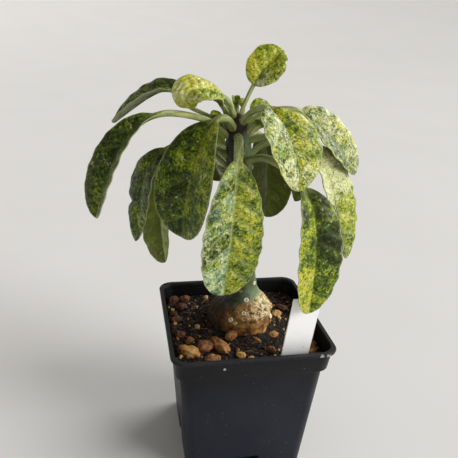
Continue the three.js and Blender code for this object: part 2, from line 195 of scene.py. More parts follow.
def from_bmesh(name: str, shape: bmesh.types.BMesh,
               material: Material | None = None) -> Object:
    """Turns a bmesh into an object and frees it.

    Args:
        name: the object's name.
        shape: the bmesh, used up by this.
        material: its finish, which a cutter goes without.

    Returns:
        The object, linked to the scene.
    """
    mesh = bpy.data.meshes.new(name)
    shape.to_mesh(mesh)
    shape.free()
    if material:
        mesh.materials.append(material)
    return new_object(name, mesh)


def store(piece: Object, name: str, values: np.ndarray) -> None:
    """Keeps a number or a vector for each vertex as a named attribute.

    Args:
        piece: the object whose mesh takes it.
        name: the attribute's name, as its material reads it.
        values: one number, or one row of three, for each vertex.
    """
    vector = values.ndim == 2
    layer = piece.data.attributes.new(name, "FLOAT_VECTOR" if vector else "FLOAT", "POINT")
    layer.data.foreach_set("vector" if vector else "value", values.astype(np.float32).ravel())


def baked_copy(carrier: Object, name: str) -> Object:
    """Turns what a carrier's modifiers make into a plain mesh and removes the carrier.

    Args:
        carrier: object with live modifiers.
        name: name of the finished piece.

    Returns:
        The finished piece, linked to the scene.
    """
    graph = bpy.context.evaluated_depsgraph_get()
    mesh = bpy.data.meshes.new_from_object(carrier.evaluated_get(graph), depsgraph=graph)
    mesh.name = name
    bpy.data.objects.remove(carrier)
    return new_object(name, mesh)


def settle(piece: Object, slot: str, *nodes: str) -> None:
    """Puts a finished piece on the plant's body, in place of the CAD nodes it stands for.

    Args:
        piece: the finished piece.
        slot: name of a material slot; not used.
        nodes: the CAD nodes it replaces, if any.
    """
    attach(piece, BODY)
    if nodes:
        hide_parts(*nodes)
    LOG.info("%s: %d faces", piece.name, len(piece.data.polygons))


def hashed(values: np.ndarray, spread: float = 43758.5453) -> np.ndarray:
    """Gives each value a number of its own between 0 and 1, the same one every time."""
    mixed = np.sin(values) * spread
    return mixed - np.floor(mixed)


def cell_borders(x: np.ndarray, y: np.ndarray, size: float, seed: int) -> np.ndarray:
    """Irregular cells over a plane, as a leaf's net of small veins makes them.

    Args:
        x: places across, in millimetres.
        y: places along, in millimetres.
        size: mean cell size in millimetres.
        seed: number that fixes the cells.

    Returns:
        How much nearer the nearest cell's centre is than the next one's, in cells: 0 on a border.
    """
    column, row = np.floor(x / size), np.floor(y / size)
    nearest = np.full(x.shape, 9.0)
    second = np.full(x.shape, 9.0)
    for step_x in (-1, 0, 1):
        for step_y in (-1, 0, 1):
            key_x, key_y = column + step_x, row + step_y
            centre_x = key_x + 0.15 + 0.7 * hashed(key_x * 127.1 + key_y * 311.7 + seed * 17.3)
            centre_y = key_y + 0.15 + 0.7 * hashed(key_x * 269.5 + key_y * 183.3 + seed * 29.1, 28001.8384)
            distance = np.hypot(x / size - centre_x, y / size - centre_y)
            second = np.minimum(second, np.maximum(nearest, distance))
            nearest = np.minimum(nearest, distance)
    return second - nearest


def smooth_noise(values: np.ndarray, size: float, seed: int) -> np.ndarray:
    """Smooth noise along a line, between -1 and 1.

    Args:
        values: places on the line, in millimetres.
        size: length of a bump, in millimetres.
        seed: number that fixes the bumps.

    Returns:
        The noise at each place.
    """
    cell = np.floor(values / size)
    part = values / size - cell
    low, high = (2 * hashed((cell + step) * 127.1 + seed * 91.7) - 1 for step in (0, 1))
    return low + (high - low) * part * part * (3 - 2 * part)


def place_in_millimetres(tree: Tree) -> Socket:
    """Gives a finish the place on its piece in millimetres, for patterns of a real size."""
    here = add_node(tree, "ShaderNodeTexCoord")
    scaled = add_node(tree, "ShaderNodeVectorMath", {"operation": "SCALE"},
                      {0: here.outputs["Object"], "Scale": 1 / MM})
    return scaled.outputs[0]


# Finishes


class VeinTone(Enum):
    """How a leaf's veins stand out from its blade."""

    PALE = "#c3c98a"
    DULL = "#6f7d3c"
    DARK = "#1f2c14"


@dataclass(frozen=True)
class LeafFinish:
    """Waxy, quilted leaf skin, splashed from dark green to yellow.

    The wax gives the eye a soft satin light over the quilting. The two halves of a blade
    can differ, because variegation follows the midrib and each half has its own painted sheen and highlight.
    """

    # How yellow each half is, from 0 for dark green to 1, and what is added toward the tip
    left: float
    right: float
    tip: float = 0.0
    # How strongly clouds, specks, dark dots and the net of fine veins show
    cloud: float = 0.55
    speck: float = 0.42
    pepper: float = 0.74
    net: float = 0.25
    # Cream on each half, and at one end of the blade, where it fades in between two places:
    # partly pale variegation, partly painted highlight
    pale_left: float = 0.0
    pale_right: float = 0.0
    pale_end: float = 0.0
    pale_span: tuple = (34, 18)
    # Painted sheen on each half: bluish fields that stand in for reflected light
    sheen_left: float = 0.0
    sheen_right: float = 0.0
    vein: VeinTone = VeinTone.DULL
    vein_share: float = 0.5
    gloss: float = 0.36
    seed: int = 1

    # Green skin of the blade, from shaded dark cells to yellow ones without chlorophyll
    STOPS = [
        (0.0, "#0c1203"), (0.2, "#1b2704"), (0.38, "#394a09"),
        (0.54, "#5d770f"), (0.7, "#8b9f1c"), (0.86, "#b0b02a"), (1.0, "#cbc74c"),
    ]
    # Colours of the painted sheen, from bluish green to a whitish reflection
    SHEEN_STOPS = [
        (0.0, "#16261d"), (0.25, "#2e4a3b"), (0.5, "#55765c"), (0.75, "#86a57c"), (1.0, "#b9cb98"),
    ]
    # Cream of pale variegation, also used as painted highlight
    PALE = "#d6dba2"
    DOT = "#16260a"
    EDGE = "#b9bd86"
    UNDERSIDE = "#5b6422"
    PETIOLE = "#b2b97a"
    PETIOLE_DARK = "#63743a"
    # Plant wax: its index of refraction and the tint of its highlights
    WAX_IOR = 1.48
    WAX_GLEAM = "#eef3c4"

    def material(self, name: str) -> Material:
        """Builds the leaf's material.

        Args:
            name: the leaf's name.

        Returns:
            The material.
        """
        material, tree, shader = new_material(f"waxy_leaf_skin_{name}")
        place, marks, stalk = (add_node(tree, "ShaderNodeAttribute", {"attribute_name": attribute})
                               for attribute in ("blade_place", "blade_marks", "stalk"))
        across = add_node(tree, "ShaderNodeSeparateXYZ", inputs={0: place.outputs["Vector"]})
        mark = add_node(tree, "ShaderNodeSeparateXYZ", inputs={0: marks.outputs["Vector"]})
        shifted = add_node(tree, "ShaderNodeVectorMath", MULTIPLY_ADD,
                           {0: place.outputs["Vector"], 1: (1, 1, 0),
                            2: (self.seed * 37.0, 0, self.seed * 5.0)})
        where = shifted.outputs[0]
        splash = add_node(tree, "ShaderNodeTexNoise",
                          inputs={"Vector": where, "Scale": 0.42, "Detail": 4.0, "Roughness": 0.65})
        skin, thread = self.variegation(tree, where, across, splash)

        # Side veins and midrib, a paler edge, and the dull underside
        vein_share = add_node(tree, "ShaderNodeMath", {"operation": "MULTIPLY", "use_clamp": True},
                              {0: mark.outputs["X"], 1: self.vein_share})
        edge_share = add_node(tree, "ShaderNodeMath", {"operation": "MULTIPLY"},
                              {0: mark.outputs["Y"], 1: 0.6})
        for share, code in ((vein_share, self.vein.value), (edge_share, self.EDGE)):
            skin = add_node(tree, "ShaderNodeMix", COLOUR_MIX,
                            {MIX_FACTOR: share, MIX_A: skin.outputs[MIX_COLOUR], MIX_B: to_linear(code)})
        under_skin = add_node(tree, "ShaderNodeMix", COLOUR_MIX,
                              {MIX_FACTOR: 0.72, MIX_A: skin.outputs[MIX_COLOUR],
                               MIX_B: to_linear(self.UNDERSIDE)})
        both = add_node(tree, "ShaderNodeMix", COLOUR_MIX,
                        {MIX_FACTOR: mark.outputs["Z"], MIX_A: skin.outputs[MIX_COLOUR],
                         MIX_B: under_skin.outputs[MIX_COLOUR]})

        # The petiole's rind has streaks along it, each about half a millimetre wide
        stretched = add_node(tree, "ShaderNodeVectorMath", {"operation": "MULTIPLY"},
                             {0: where, 1: (1.6, 0.12, 1.0)})
        streaks = add_node(tree, "ShaderNodeTexNoise",
                           inputs={"Vector": stretched, "Scale": 1.0, "Detail": 3.0})
        streak = add_node(tree, "ShaderNodeMapRange",
                          inputs={"Value": streaks, "From Min": 0.3, "From Max": 0.62})
        rind = add_node(tree, "ShaderNodeMix", COLOUR_MIX,
                        {MIX_FACTOR: streak, MIX_A: to_linear(self.PETIOLE_DARK),
                         MIX_B: to_linear(self.PETIOLE)})
        colour = add_node(tree, "ShaderNodeMix", COLOUR_MIX,
                          {MIX_FACTOR: stalk.outputs["Fac"], MIX_A: both.outputs[MIX_COLOUR],
                           MIX_B: rind.outputs[MIX_COLOUR]})

        # Uneven wax, and the fine net of veins pressed into it
        rough = add_node(tree, "ShaderNodeMapRange",
                         inputs={"Value": splash, "From Min": 0.3, "From Max": 0.7,
                                 "To Min": self.gloss - 0.05, "To Max": self.gloss + 0.09})
        grain = add_node(tree, "ShaderNodeTexNoise", inputs={"Vector": where, "Scale": 1.6, "Detail": 2.0})
        raised = add_node(tree, "ShaderNodeMath", MULTIPLY_ADD, {0: thread, 1: -0.5, 2: grain})
        bump = add_node(tree, "ShaderNodeBump",
                        inputs={"Strength": 0.4, "Distance": 0.0004, "Height": raised})
        set_inputs(tree, shader, {
            "Base Color": colour.outputs[MIX_COLOUR], "Roughness": rough,
            "Normal": bump, "IOR": self.WAX_IOR, "Specular Tint": to_linear(self.WAX_GLEAM),
            "Specular IOR Level": 0.27, "Coat Weight": 0.1, "Coat Roughness": 0.2})
        return material

    def variegation(self, tree: Tree, where: Socket, across: Node,
                    splash: Node) -> tuple[Node, Node]:
        """Paints the upper skin: green to yellow, painted bluish sheen, pale fields that are partly painted
        highlight, dots and a net of fine veins.

        Args:
            tree: the material's tree.
            where: place on the blade, shifted by the leaf's seed.
            across: the blade's place, split into across, along and field.
            splash: noise of blotches about 2 mm wide.

        Returns:
            The Mix node of the skin's colour, and the node of the net's threads.
        """
        # Clouds about 9 mm wide say which parts are yellow; cells under 1 mm break them into specks
        cloud = add_node(tree, "ShaderNodeTexNoise", inputs={"Vector": where, "Scale": 0.11, "Detail": 2.0})
        wander = add_node(tree, "ShaderNodeTexNoise", inputs={"Vector": where, "Scale": 1.3, "Detail": 1.0})
        bent = add_node(tree, "ShaderNodeVectorMath", MULTIPLY_ADD,
                        {0: wander.outputs["Color"], 1: (0.9, 0.9, 0), 2: where})
        cells = add_node(tree, "ShaderNodeTexVoronoi", inputs={"Vector": bent, "Scale": 1.15})
        cell = add_node(tree, "ShaderNodeSeparateColor", inputs={0: cells.outputs["Color"]})

        # How yellow each half is, and how much painted sheen and pale it has, with a soft change at the
        # midrib
        side, sheen_side, pale_side = (
            add_node(tree, "ShaderNodeMapRange", SMOOTH,
                     {"Value": across.outputs["X"], "From Min": -1.0, "From Max": 1.0,
                      "To Min": left, "To Max": right})
            for left, right in ((self.left, self.right), (self.sheen_left, self.sheen_right),
                                (self.pale_left, self.pale_right)))
        toward_tip = add_node(tree, "ShaderNodeMapRange", SMOOTH,
                              {"Value": across.outputs["Y"], "From Min": 25.0, "From Max": 60.0,
                               "To Max": self.tip})
        level = side
        for pattern, amount in ((cloud, self.cloud * 2.4), (splash, 1.15),
                                (cell, self.speck), (across.outputs["Z"], 0.26)):
            centred = add_node(tree, "ShaderNodeMath", {"operation": "SUBTRACT"}, {0: pattern, 1: 0.5})
            level = add_node(tree, "ShaderNodeMath", MULTIPLY_ADD, {0: centred, 1: amount, 2: level})
        level = add_node(tree, "ShaderNodeMath", {"operation": "ADD"}, {0: level, 1: toward_tip})
        green, sheen_tone = (add_node(tree, "ShaderNodeValToRGB", inputs={0: level}) for _ in range(2))
        set_stops(green, self.STOPS)
        set_stops(sheen_tone, self.SHEEN_STOPS)

        # Painted sheen: bluish fields about 6 mm wide, which keep to some of the fields between the side
        # veins, stand in for the window's light reflected by the wax
        patches = add_node(tree, "ShaderNodeTexNoise",
                           inputs={"Vector": where, "Scale": 0.16, "Detail": 3.0, "Distortion": 0.4})
        field_level = add_node(tree, "ShaderNodeMath", MULTIPLY_ADD,
                               {0: across.outputs["Z"], 1: 0.3, 2: -0.15})
        patch_level = add_node(tree, "ShaderNodeMath", {"operation": "ADD"}, {0: patches, 1: field_level})
        sheen_level = add_node(tree, "ShaderNodeMath", {"operation": "ADD"}, {0: patch_level, 1: sheen_side})
        sheen_share = add_node(tree, "ShaderNodeMapRange", SMOOTH,
                              {"Value": sheen_level, "From Min": 0.72, "From Max": 0.98})
        sheened = add_node(tree, "ShaderNodeMix", COLOUR_MIX,
                         {MIX_FACTOR: sheen_share, MIX_A: green, MIX_B: sheen_tone})

        # Pale cream blotches about 5 mm wide: partly where the leaf has hardly any chlorophyll,
        # partly painted highlight where the wax catches the light
        blotches = add_node(tree, "ShaderNodeTexNoise",
                            inputs={"Vector": bent, "Scale": 0.2, "Detail": 3.0})
        pale_end = add_node(tree, "ShaderNodeMapRange", SMOOTH,
                            {"Value": across.outputs["Y"], "From Min": self.pale_span[0],
                             "From Max": self.pale_span[1], "To Max": self.pale_end})
        flecked = add_node(tree, "ShaderNodeMath", MULTIPLY_ADD, {0: cell.outputs[1], 1: 0.24, 2: blotches})
        pale_spot = add_node(tree, "ShaderNodeMath", {"operation": "ADD"}, {0: flecked, 1: pale_end})
        pale_level = add_node(tree, "ShaderNodeMath", {"operation": "ADD"}, {0: pale_spot, 1: pale_side})
        pale_share = add_node(tree, "ShaderNodeMapRange", SMOOTH,
                              {"Value": pale_level, "From Min": 0.76, "From Max": 0.98, "To Max": 0.92})
        paled = add_node(tree, "ShaderNodeMix", COLOUR_MIX,
                         {MIX_FACTOR: pale_share, MIX_A: sheened.outputs[MIX_COLOUR],
                          MIX_B: to_linear(self.PALE)})

        # Dark green dots and threads under 1 mm, and a broken net of fine veins with meshes of 4 mm
        threads = add_node(tree, "ShaderNodeTexNoise",
                           inputs={"Vector": where, "Scale": 1.15, "Detail": 2.5, "Distortion": 0.8})
        dots = add_node(tree, "ShaderNodeMapRange", SMOOTH,
                        {"Value": threads, "From Min": 0.5, "From Max": 0.66, "To Max": self.pepper})
        # The dots thin out under the painted sheen
        clear = add_node(tree, "ShaderNodeMath", MULTIPLY_ADD, {0: sheen_share, 1: -0.6, 2: 1.0})
        clear_dots = add_node(tree, "ShaderNodeMath", {"operation": "MULTIPLY"}, {0: dots, 1: clear})
        drift = add_node(tree, "ShaderNodeVectorMath", MULTIPLY_ADD,
                         {0: blotches.outputs["Color"], 1: (5.0, 5.0, 0), 2: bent})
        meshes = add_node(tree, "ShaderNodeTexVoronoi", {"feature": "DISTANCE_TO_EDGE"},
                          {"Vector": drift, "Scale": 0.25})
        thread = add_node(tree, "ShaderNodeMapRange", SMOOTH,
                          {"Value": meshes.outputs["Distance"], "From Min": 0.08, "From Max": 0.01})
        broken = add_node(tree, "ShaderNodeMapRange", SMOOTH,
                          {"Value": splash, "From Min": 0.35, "From Max": 0.6, "To Max": self.net})
        net = add_node(tree, "ShaderNodeMath", MULTIPLY_ADD, {0: thread, 1: broken, 2: clear_dots})
        skin = add_node(tree, "ShaderNodeMix", COLOUR_MIX,
                        {MIX_FACTOR: net, MIX_A: paled.outputs[MIX_COLOUR], MIX_B: to_linear(self.DOT)})
        return skin, thread


@dataclass(frozen=True)
class BarkFinish:
    """Corky caudex bark with a chalky crust, turning to smooth waxy green stem skin above.

    The cork is rough and dull to the eye, and the skin above it has a soft shine.
    """

    cork_dark: str = "#21170d"
    cork: str = "#7a5426"
    cork_light: str = "#b5803f"
    cork_tan: str = "#9a6128"
    cork_painted_shade: str = "#271c10"
    crust_edge: str = "#a98a52"
    crust: str = "#d2c493"
    crust_pale: str = "#e9e2c8"
    neck: str = "#48583f"
    # Painted shade and painted light for the two sides of the stem, with its own green between
    stem_painted_shade: str = "#0b0b06"
    stem: str = "#2a3324"
    stem_painted_light: str = "#5c7246"
    apex: str = "#2b1c12"

    def material(self) -> Material:
        """Builds the bark and stem skin.

        Returns:
            The material.
        """
        material, tree, shader = new_material("corky_bark_and_stem_skin")
        place = add_node(tree, "ShaderNodeAttribute", {"attribute_name": "bark_place"})
        part = add_node(tree, "ShaderNodeSeparateXYZ", inputs={0: place.outputs["Vector"]})
        where = place_in_millimetres(tree)
        # Plates of cork about 4 mm wide, crumbs of 1 mm in them, and chalk in flakes under 2 mm
        plates, crumbs, chalk = (
            add_node(tree, "ShaderNodeTexNoise",
                     inputs={"Vector": where, "Scale": scale, "Detail": detail, "Roughness": rough})
            for scale, detail, rough in ((0.24, 5.0, 0.62), (0.9, 4.0, 0.7), (0.62, 5.0, 0.75)))
        cork = add_node(tree, "ShaderNodeValToRGB", inputs={0: plates})
        set_stops(cork, [(0.3, self.cork_dark), (0.45, self.cork), (0.6, self.cork_light),
                         (0.75, self.cork_tan)])
        # Chalky crust on the shoulder, laid more thickly on the side that faces the light, so that it is
        # partly painted light there; warm tan cork below it
        low_share = add_node(tree, "ShaderNodeMapRange", SMOOTH,
                             {"Value": part.outputs["Y"], "From Min": 92.0, "From Max": 84.0, "To Max": -0.4})
        crumb_level = add_node(tree, "ShaderNodeMath", {"operation": "ADD"}, {0: crumbs, 1: low_share})
        crust_level = add_node(tree, "ShaderNodeMath", MULTIPLY_ADD,
                               {0: part.outputs["X"], 1: 0.34, 2: crumb_level})
        broken_level = add_node(tree, "ShaderNodeMath", MULTIPLY_ADD, {0: plates, 1: 0.7, 2: crust_level})
        crust_share = add_node(tree, "ShaderNodeMapRange", SMOOTH,
                               {"Value": broken_level, "From Min": 1.02, "From Max": 1.2})
        crust = add_node(tree, "ShaderNodeValToRGB", inputs={0: chalk})
        set_stops(crust, [(0.34, self.cork), (0.43, self.crust_edge), (0.52, self.crust),
                          (0.66, self.crust_pale)])
        crusted = add_node(tree, "ShaderNodeMix", COLOUR_MIX,
                           {MIX_FACTOR: crust_share, MIX_A: cork, MIX_B: crust})
        # Painted shade: darker cork on the side away from the light
        shade_share = add_node(tree, "ShaderNodeMapRange", SMOOTH,
                               {"Value": part.outputs["X"], "From Min": 0.3, "From Max": -0.55,
                                "To Max": 0.85})
        shaded = add_node(tree, "ShaderNodeMix", COLOUR_MIX,
                          {MIX_FACTOR: shade_share, MIX_A: crusted.outputs[MIX_COLOUR],
                           MIX_B: to_linear(self.cork_painted_shade)})
        # Green skin of the stem, with painted shade on the side away from the light and painted light
        # on the side that faces it, brown at the growing point
        skin_level = add_node(tree, "ShaderNodeMath", MULTIPLY_ADD,
                              {0: part.outputs["X"], 1: 0.4, 2: plates})
        skin = add_node(tree, "ShaderNodeValToRGB", inputs={0: skin_level})
        set_stops(skin, [(0.2, self.stem_painted_shade), (0.38, self.stem), (0.58, self.neck),
                         (0.85, self.stem_painted_light)])
        apex_share = add_node(tree, "ShaderNodeMapRange", SMOOTH,
                              {"Value": part.outputs["Y"], "From Min": 191.0, "From Max": 198.0})
        topped = add_node(tree, "ShaderNodeMix", COLOUR_MIX,
                          {MIX_FACTOR: apex_share, MIX_A: skin, MIX_B: to_linear(self.apex)})
        # The cork ends at the neck in a ragged line, a little higher on the side that faces the light
        height = add_node(tree, "ShaderNodeMath", MULTIPLY_ADD, {0: plates, 1: 9.0, 2: part.outputs["Y"]})
        leaned = add_node(tree, "ShaderNodeMath", MULTIPLY_ADD, {0: part.outputs["X"], 1: -3.5, 2: height})
        neck_share = add_node(tree, "ShaderNodeMapRange", SMOOTH,
                              {"Value": leaned, "From Min": 99.5, "From Max": 103.5})
        colour = add_node(tree, "ShaderNodeMix", COLOUR_MIX,
                          {MIX_FACTOR: neck_share, MIX_A: shaded.outputs[MIX_COLOUR],
                           MIX_B: topped.outputs[MIX_COLOUR]})
        rough, strength = (
            add_node(tree, "ShaderNodeMapRange",
                     inputs={"Value": neck_share, "To Min": on_cork, "To Max": on_skin})
            for on_cork, on_skin in ((0.85, 0.5), (0.8, 0.25)))
        bump = add_node(tree, "ShaderNodeBump",
                        inputs={"Strength": strength, "Distance": 0.001, "Height": crumbs})
        set_inputs(tree, shader, {"Base Color": colour.outputs[MIX_COLOUR], "Roughness": rough,
                                  "Normal": bump})
        return material


@dataclass(frozen=True)
class SpeckledFinish:
    """Dull mineral or cork surface with a tint for each piece and fine dark pits."""

    name: str
    tones: tuple[tuple[float, str], ...]
    pit: str
    pit_share: float
    roughness: float
    pits_per_mm: float = 0.7

    def material(self) -> Material:
        """Builds the material.

        Returns:
            The material.
        """
        material, tree, shader = new_material(self.name)
        tint = add_node(tree, "ShaderNodeAttribute", {"attribute_name": "tint"})
        where = place_in_millimetres(tree)
        # Blotches about 3 mm wide shift each piece's own tint
        mottle = add_node(tree, "ShaderNodeTexNoise",
                          inputs={"Vector": where, "Scale": 0.35, "Detail": 4.0, "Roughness": 0.6})
        level = add_node(tree, "ShaderNodeMath", MULTIPLY_ADD, {0: mottle, 1: 0.9, 2: tint.outputs["Fac"]})
        half = add_node(tree, "ShaderNodeMath", {"operation": "SUBTRACT"}, {0: level, 1: 0.45})
        tone = add_node(tree, "ShaderNodeValToRGB", inputs={0: half})
        set_stops(tone, list(self.tones))
        pits = add_node(tree, "ShaderNodeTexNoise",
                        inputs={"Vector": where, "Scale": self.pits_per_mm, "Detail": 5.0,
                                "Roughness": 0.75})
        pit_mask = add_node(tree, "ShaderNodeMapRange", SMOOTH,
                            {"Value": pits, "From Min": 0.5, "From Max": 0.34, "To Max": self.pit_share})
        colour = add_node(tree, "ShaderNodeMix", COLOUR_MIX,
                          {MIX_FACTOR: pit_mask, MIX_A: tone, MIX_B: to_linear(self.pit)})
        bump = add_node(tree, "ShaderNodeBump",
                        inputs={"Strength": 0.7, "Distance": 0.0005, "Height": pits})
        set_inputs(tree, shader, {"Base Color": colour.outputs[MIX_COLOUR], "Normal": bump,
                                  "Roughness": self.roughness})
        return material


PUMICE_TONES = ((0.0, "#56311b"), (0.3, "#93602f"), (0.6, "#bd9150"), (0.9, "#d3b57c"))
BARK_TONES = ((0.1, "#0c0906"), (0.5, "#19110b"), (0.85, "#332014"), (1.0, "#5a3c24"))
FIBRE_TONES = ((0.1, "#3a2818"), (0.6, "#6e5030"), (1.0, "#a07e50"))
MIX_TONES = ((0.1, "#090706"), (0.5, "#120d09"), (0.9, "#20160f"))
SCAR_TONES = ((0.1, "#8c8660"), (0.45, "#c9c19a"), (0.9, "#e9e3c6"))

# Pumice looks sandy and porous, with brown pits that are coarser on the large pebbles
PEBBLE_PUMICE = SpeckledFinish("rough_pumice_pebble", PUMICE_TONES, pit="#5c3d20", pit_share=0.4,
                               roughness=0.7)
GRAVEL_PUMICE = SpeckledFinish("rough_pumice_gravel", PUMICE_TONES, pit="#5a3c20", pit_share=0.55,
                               roughness=0.85, pits_per_mm=0.9)
# Composted bark and damp peat look almost black, and dry peat fibres light brown
BARK_CHIPS = SpeckledFinish("composted_bark", BARK_TONES, pit="#120c08", pit_share=0.5, roughness=0.8)
PEAT_FIBRE = SpeckledFinish("peat_fibre", FIBRE_TONES, pit="#2a1c10", pit_share=0.3, roughness=0.8)
DAMP_PEAT = SpeckledFinish("damp_peat_mix", MIX_TONES, pit="#060403", pit_share=0.6, roughness=0.9)
# Healed leaf scars are chalky and stand out pale from the stem
LEAF_SCAR = SpeckledFinish("chalky_leaf_scar", SCAR_TONES, pit="#6d6a48", pit_share=0.5, roughness=0.8)


@dataclass(frozen=True)
class PotFinish:
    """Injection moulded polypropylene, charcoal, with dust and fine scuffs from handling.

    It looks satin and nearly black, greyer where its walls are rubbed, and along the rim top, where rubbing
    and a painted highlight lighten it.
    """

    body: str = "#151a26"
    collar: str = "#0a0b0e"
    # Grey of scuffs, also used for the rim's painted highlight
    scuff_and_highlight: str = "#45474c"
    dust: str = "#8f8a80"
    chip: str = "#b3b0a8"
    # Place and reach of each chip and rubbed spot, in millimetres
    chips: tuple = ((-17.2, -43.3, 81.0, 1.1), (38.6, -44.4, 85.4, 2.0), (34.6, -44.9, 85.6, 1.5))

    def material(self) -> Material:
        """Builds the pot's plastic.

        Returns:
            The material.
        """
        material, tree, shader = new_material("moulded_polypropylene")
        where = place_in_millimetres(tree)
        height = add_node(tree, "ShaderNodeSeparateXYZ", inputs={0: where})
        # Scuffs run up and down the wall, each under a millimetre wide
        stretched = add_node(tree, "ShaderNodeMapping", inputs={"Vector": where, "Scale": (1.0, 1.0, 0.12)})
        streaks = add_node(tree, "ShaderNodeTexNoise",
                           inputs={"Vector": stretched, "Scale": 0.8, "Detail": 5.0, "Roughness": 0.7})
        streak_mask = add_node(tree, "ShaderNodeMapRange", SMOOTH,
                               {"Value": streaks, "From Min": 0.6, "From Max": 0.8, "To Max": 0.3})
        # Dust lies in specks about half a millimetre wide, about 3 mm apart
        specks = add_node(tree, "ShaderNodeTexVoronoi", inputs={"Vector": where, "Scale": 0.38})
        speck_hue = add_node(tree, "ShaderNodeSeparateColor", inputs={0: specks.outputs["Color"]})
        speck_share = add_node(tree, "ShaderNodeMapRange",
                               inputs={"Value": speck_hue, "From Min": 0.6, "To Max": 0.7})
        speck_mask = add_node(tree, "ShaderNodeMapRange", SMOOTH,
                              {"Value": specks.outputs["Distance"], "From Min": 0.14, "From Max": 0.05,
                               "To Max": speck_share})
        # Rubbed wear and a painted highlight along the top of the rim
        rim_level = add_node(tree, "ShaderNodeMath", MULTIPLY_ADD,
                             {0: streaks, 1: 3.0, 2: height.outputs["Z"]})
        rim_wear_and_highlight = add_node(tree, "ShaderNodeMapRange", SMOOTH,
                            {"Value": rim_level, "From Min": 86.6, "From Max": 89.0, "To Max": 0.35})
        wear_and_highlight = [(streak_mask, self.scuff_and_highlight), (speck_mask, self.dust), (rim_wear_and_highlight, self.scuff_and_highlight)]
        for x, y, z, reach in self.chips:
            away = add_node(tree, "ShaderNodeVectorMath", {"operation": "DISTANCE"},
                            {0: where, 1: (x, y, z)})
            ragged = add_node(tree, "ShaderNodeMath", MULTIPLY_ADD,
                              {0: streaks, 1: 2.0 * reach, 2: away.outputs["Value"]})
            mask = add_node(tree, "ShaderNodeMapRange", SMOOTH,
                            {"Value": ragged, "From Min": 1.9 * reach,
                             "From Max": 1.5 * reach, "To Max": 0.8})
            wear_and_highlight.append((mask, self.chip))

        # Painted reflection: the plastic is lighter and bluer low on the wall, where it mirrors the pale
        # floor, and darker toward the collar; the wear and the rim's painted highlight lie over it
        collar_share = add_node(tree, "ShaderNodeMapRange", SMOOTH,
                                {"Value": height.outputs["Z"], "From Min": 45.0, "From Max": 80.0})
        surface = add_node(tree, "ShaderNodeMix", COLOUR_MIX,
                           {MIX_FACTOR: collar_share, MIX_A: to_linear(self.body),
                            MIX_B: to_linear(self.collar)})
        for mask, code in wear_and_highlight:
            surface = add_node(tree, "ShaderNodeMix", COLOUR_MIX,
                               {MIX_FACTOR: mask, MIX_A: surface.outputs[MIX_COLOUR],
                                MIX_B: to_linear(code)})
        cloud = add_node(tree, "ShaderNodeTexNoise", inputs={"Vector": where, "Scale": 0.05, "Detail": 3.0})
        rough = add_node(tree, "ShaderNodeMapRange",
                         inputs={"Value": cloud, "From Min": 0.3, "From Max": 0.7,
                                 "To Min": 0.36, "To Max": 0.52})
        bump = add_node(tree, "ShaderNodeBump",
                        inputs={"Strength": 0.12, "Distance": 0.0003, "Height": streaks})
        set_inputs(tree, shader, {"Base Color": surface.outputs[MIX_COLOUR], "Roughness": rough,
                                  "Normal": bump, "IOR": 1.49, "Specular IOR Level": 0.2})
        return material


@dataclass(frozen=True)
class LabelFinish:
    """Smooth white polystyrene sheet with faint rubbed marks, bright and softly shiny."""

    sheet: str = "#fdfdff"
    rubbed: str = "#c9c9cf"

    def material(self) -> Material:
        """Builds the label's plastic.

        Returns:
            The material.
        """
        material, tree, shader = new_material("white_polystyrene_sheet")
        here = add_node(tree, "ShaderNodeTexCoord")
        # Rubbed marks are about 3 mm wide
        marks = add_node(tree, "ShaderNodeTexNoise",
                         inputs={"Vector": here.outputs["Object"], "Scale": 320.0, "Detail": 4.0,
                                 "Distortion": 1.5})
        mask = add_node(tree, "ShaderNodeMapRange", SMOOTH,
                        {"Value": marks, "From Min": 0.62, "From Max": 0.78, "To Max": 0.7})
        colour = add_node(tree, "ShaderNodeMix", COLOUR_MIX,
                          {MIX_FACTOR: mask, MIX_A: to_linear(self.sheet), MIX_B: to_linear(self.rubbed)})
        rough = add_node(tree, "ShaderNodeMapRange", inputs={"Value": marks, "To Min": 0.3, "To Max": 0.45})
        set_inputs(tree, shader, {"Base Color": colour.outputs[MIX_COLOUR], "Roughness": rough,
                                  "IOR": 1.59})
        return material


# Shapes


def curve_through(points: np.ndarray, steps: int) -> np.ndarray:
    """Centripetal Catmull-Rom curve through points.

    Args:
        points: the points, one a row.
        steps: how many steps each stretch between two points takes.

    Returns:
        Points along the curve, ends included.
    """
    guide = np.vstack([2 * points[0] - points[1], points, 2 * points[-1] - points[-2]])
    part = np.linspace(0, 1, steps, endpoint=False)[:, None]
    stretches = []
    for index in range(len(points) - 1):
        before, start, end, after = guide[index : index + 4]
        gap_a, gap_b, gap_c = (np.linalg.norm(leg) ** 0.5
                               for leg in (start - before, end - start, after - end))
        leave = gap_b * ((start - before) / gap_a - (end - before) / (gap_a + gap_b)) + (end - start)
        arrive = (end - start) + gap_b * ((after - end) / gap_c - (after - start) / (gap_b + gap_c))
        stretches.append(
            (2 * part**3 - 3 * part**2 + 1) * start + (part**3 - 2 * part**2 + part) * leave
            + (3 * part**2 - 2 * part**3) * end + (part**3 - part**2) * arrive
        )
    return np.vstack([*stretches, points[-1:]])


def band_faces(rings: int, sides: int) -> list:
    """Faces of an open band through rings of points.

    Args:
        rings: number of rings.
        sides: points in each ring.

    Returns:
        The band's faces.
    """
    faces = []
    for ring in range(rings - 1):
        for side in range(sides):
            here, beside = ring * sides + side, ring * sides + (side + 1) % sides
            faces.append((here, beside, beside + sides, here + sides))
    return faces


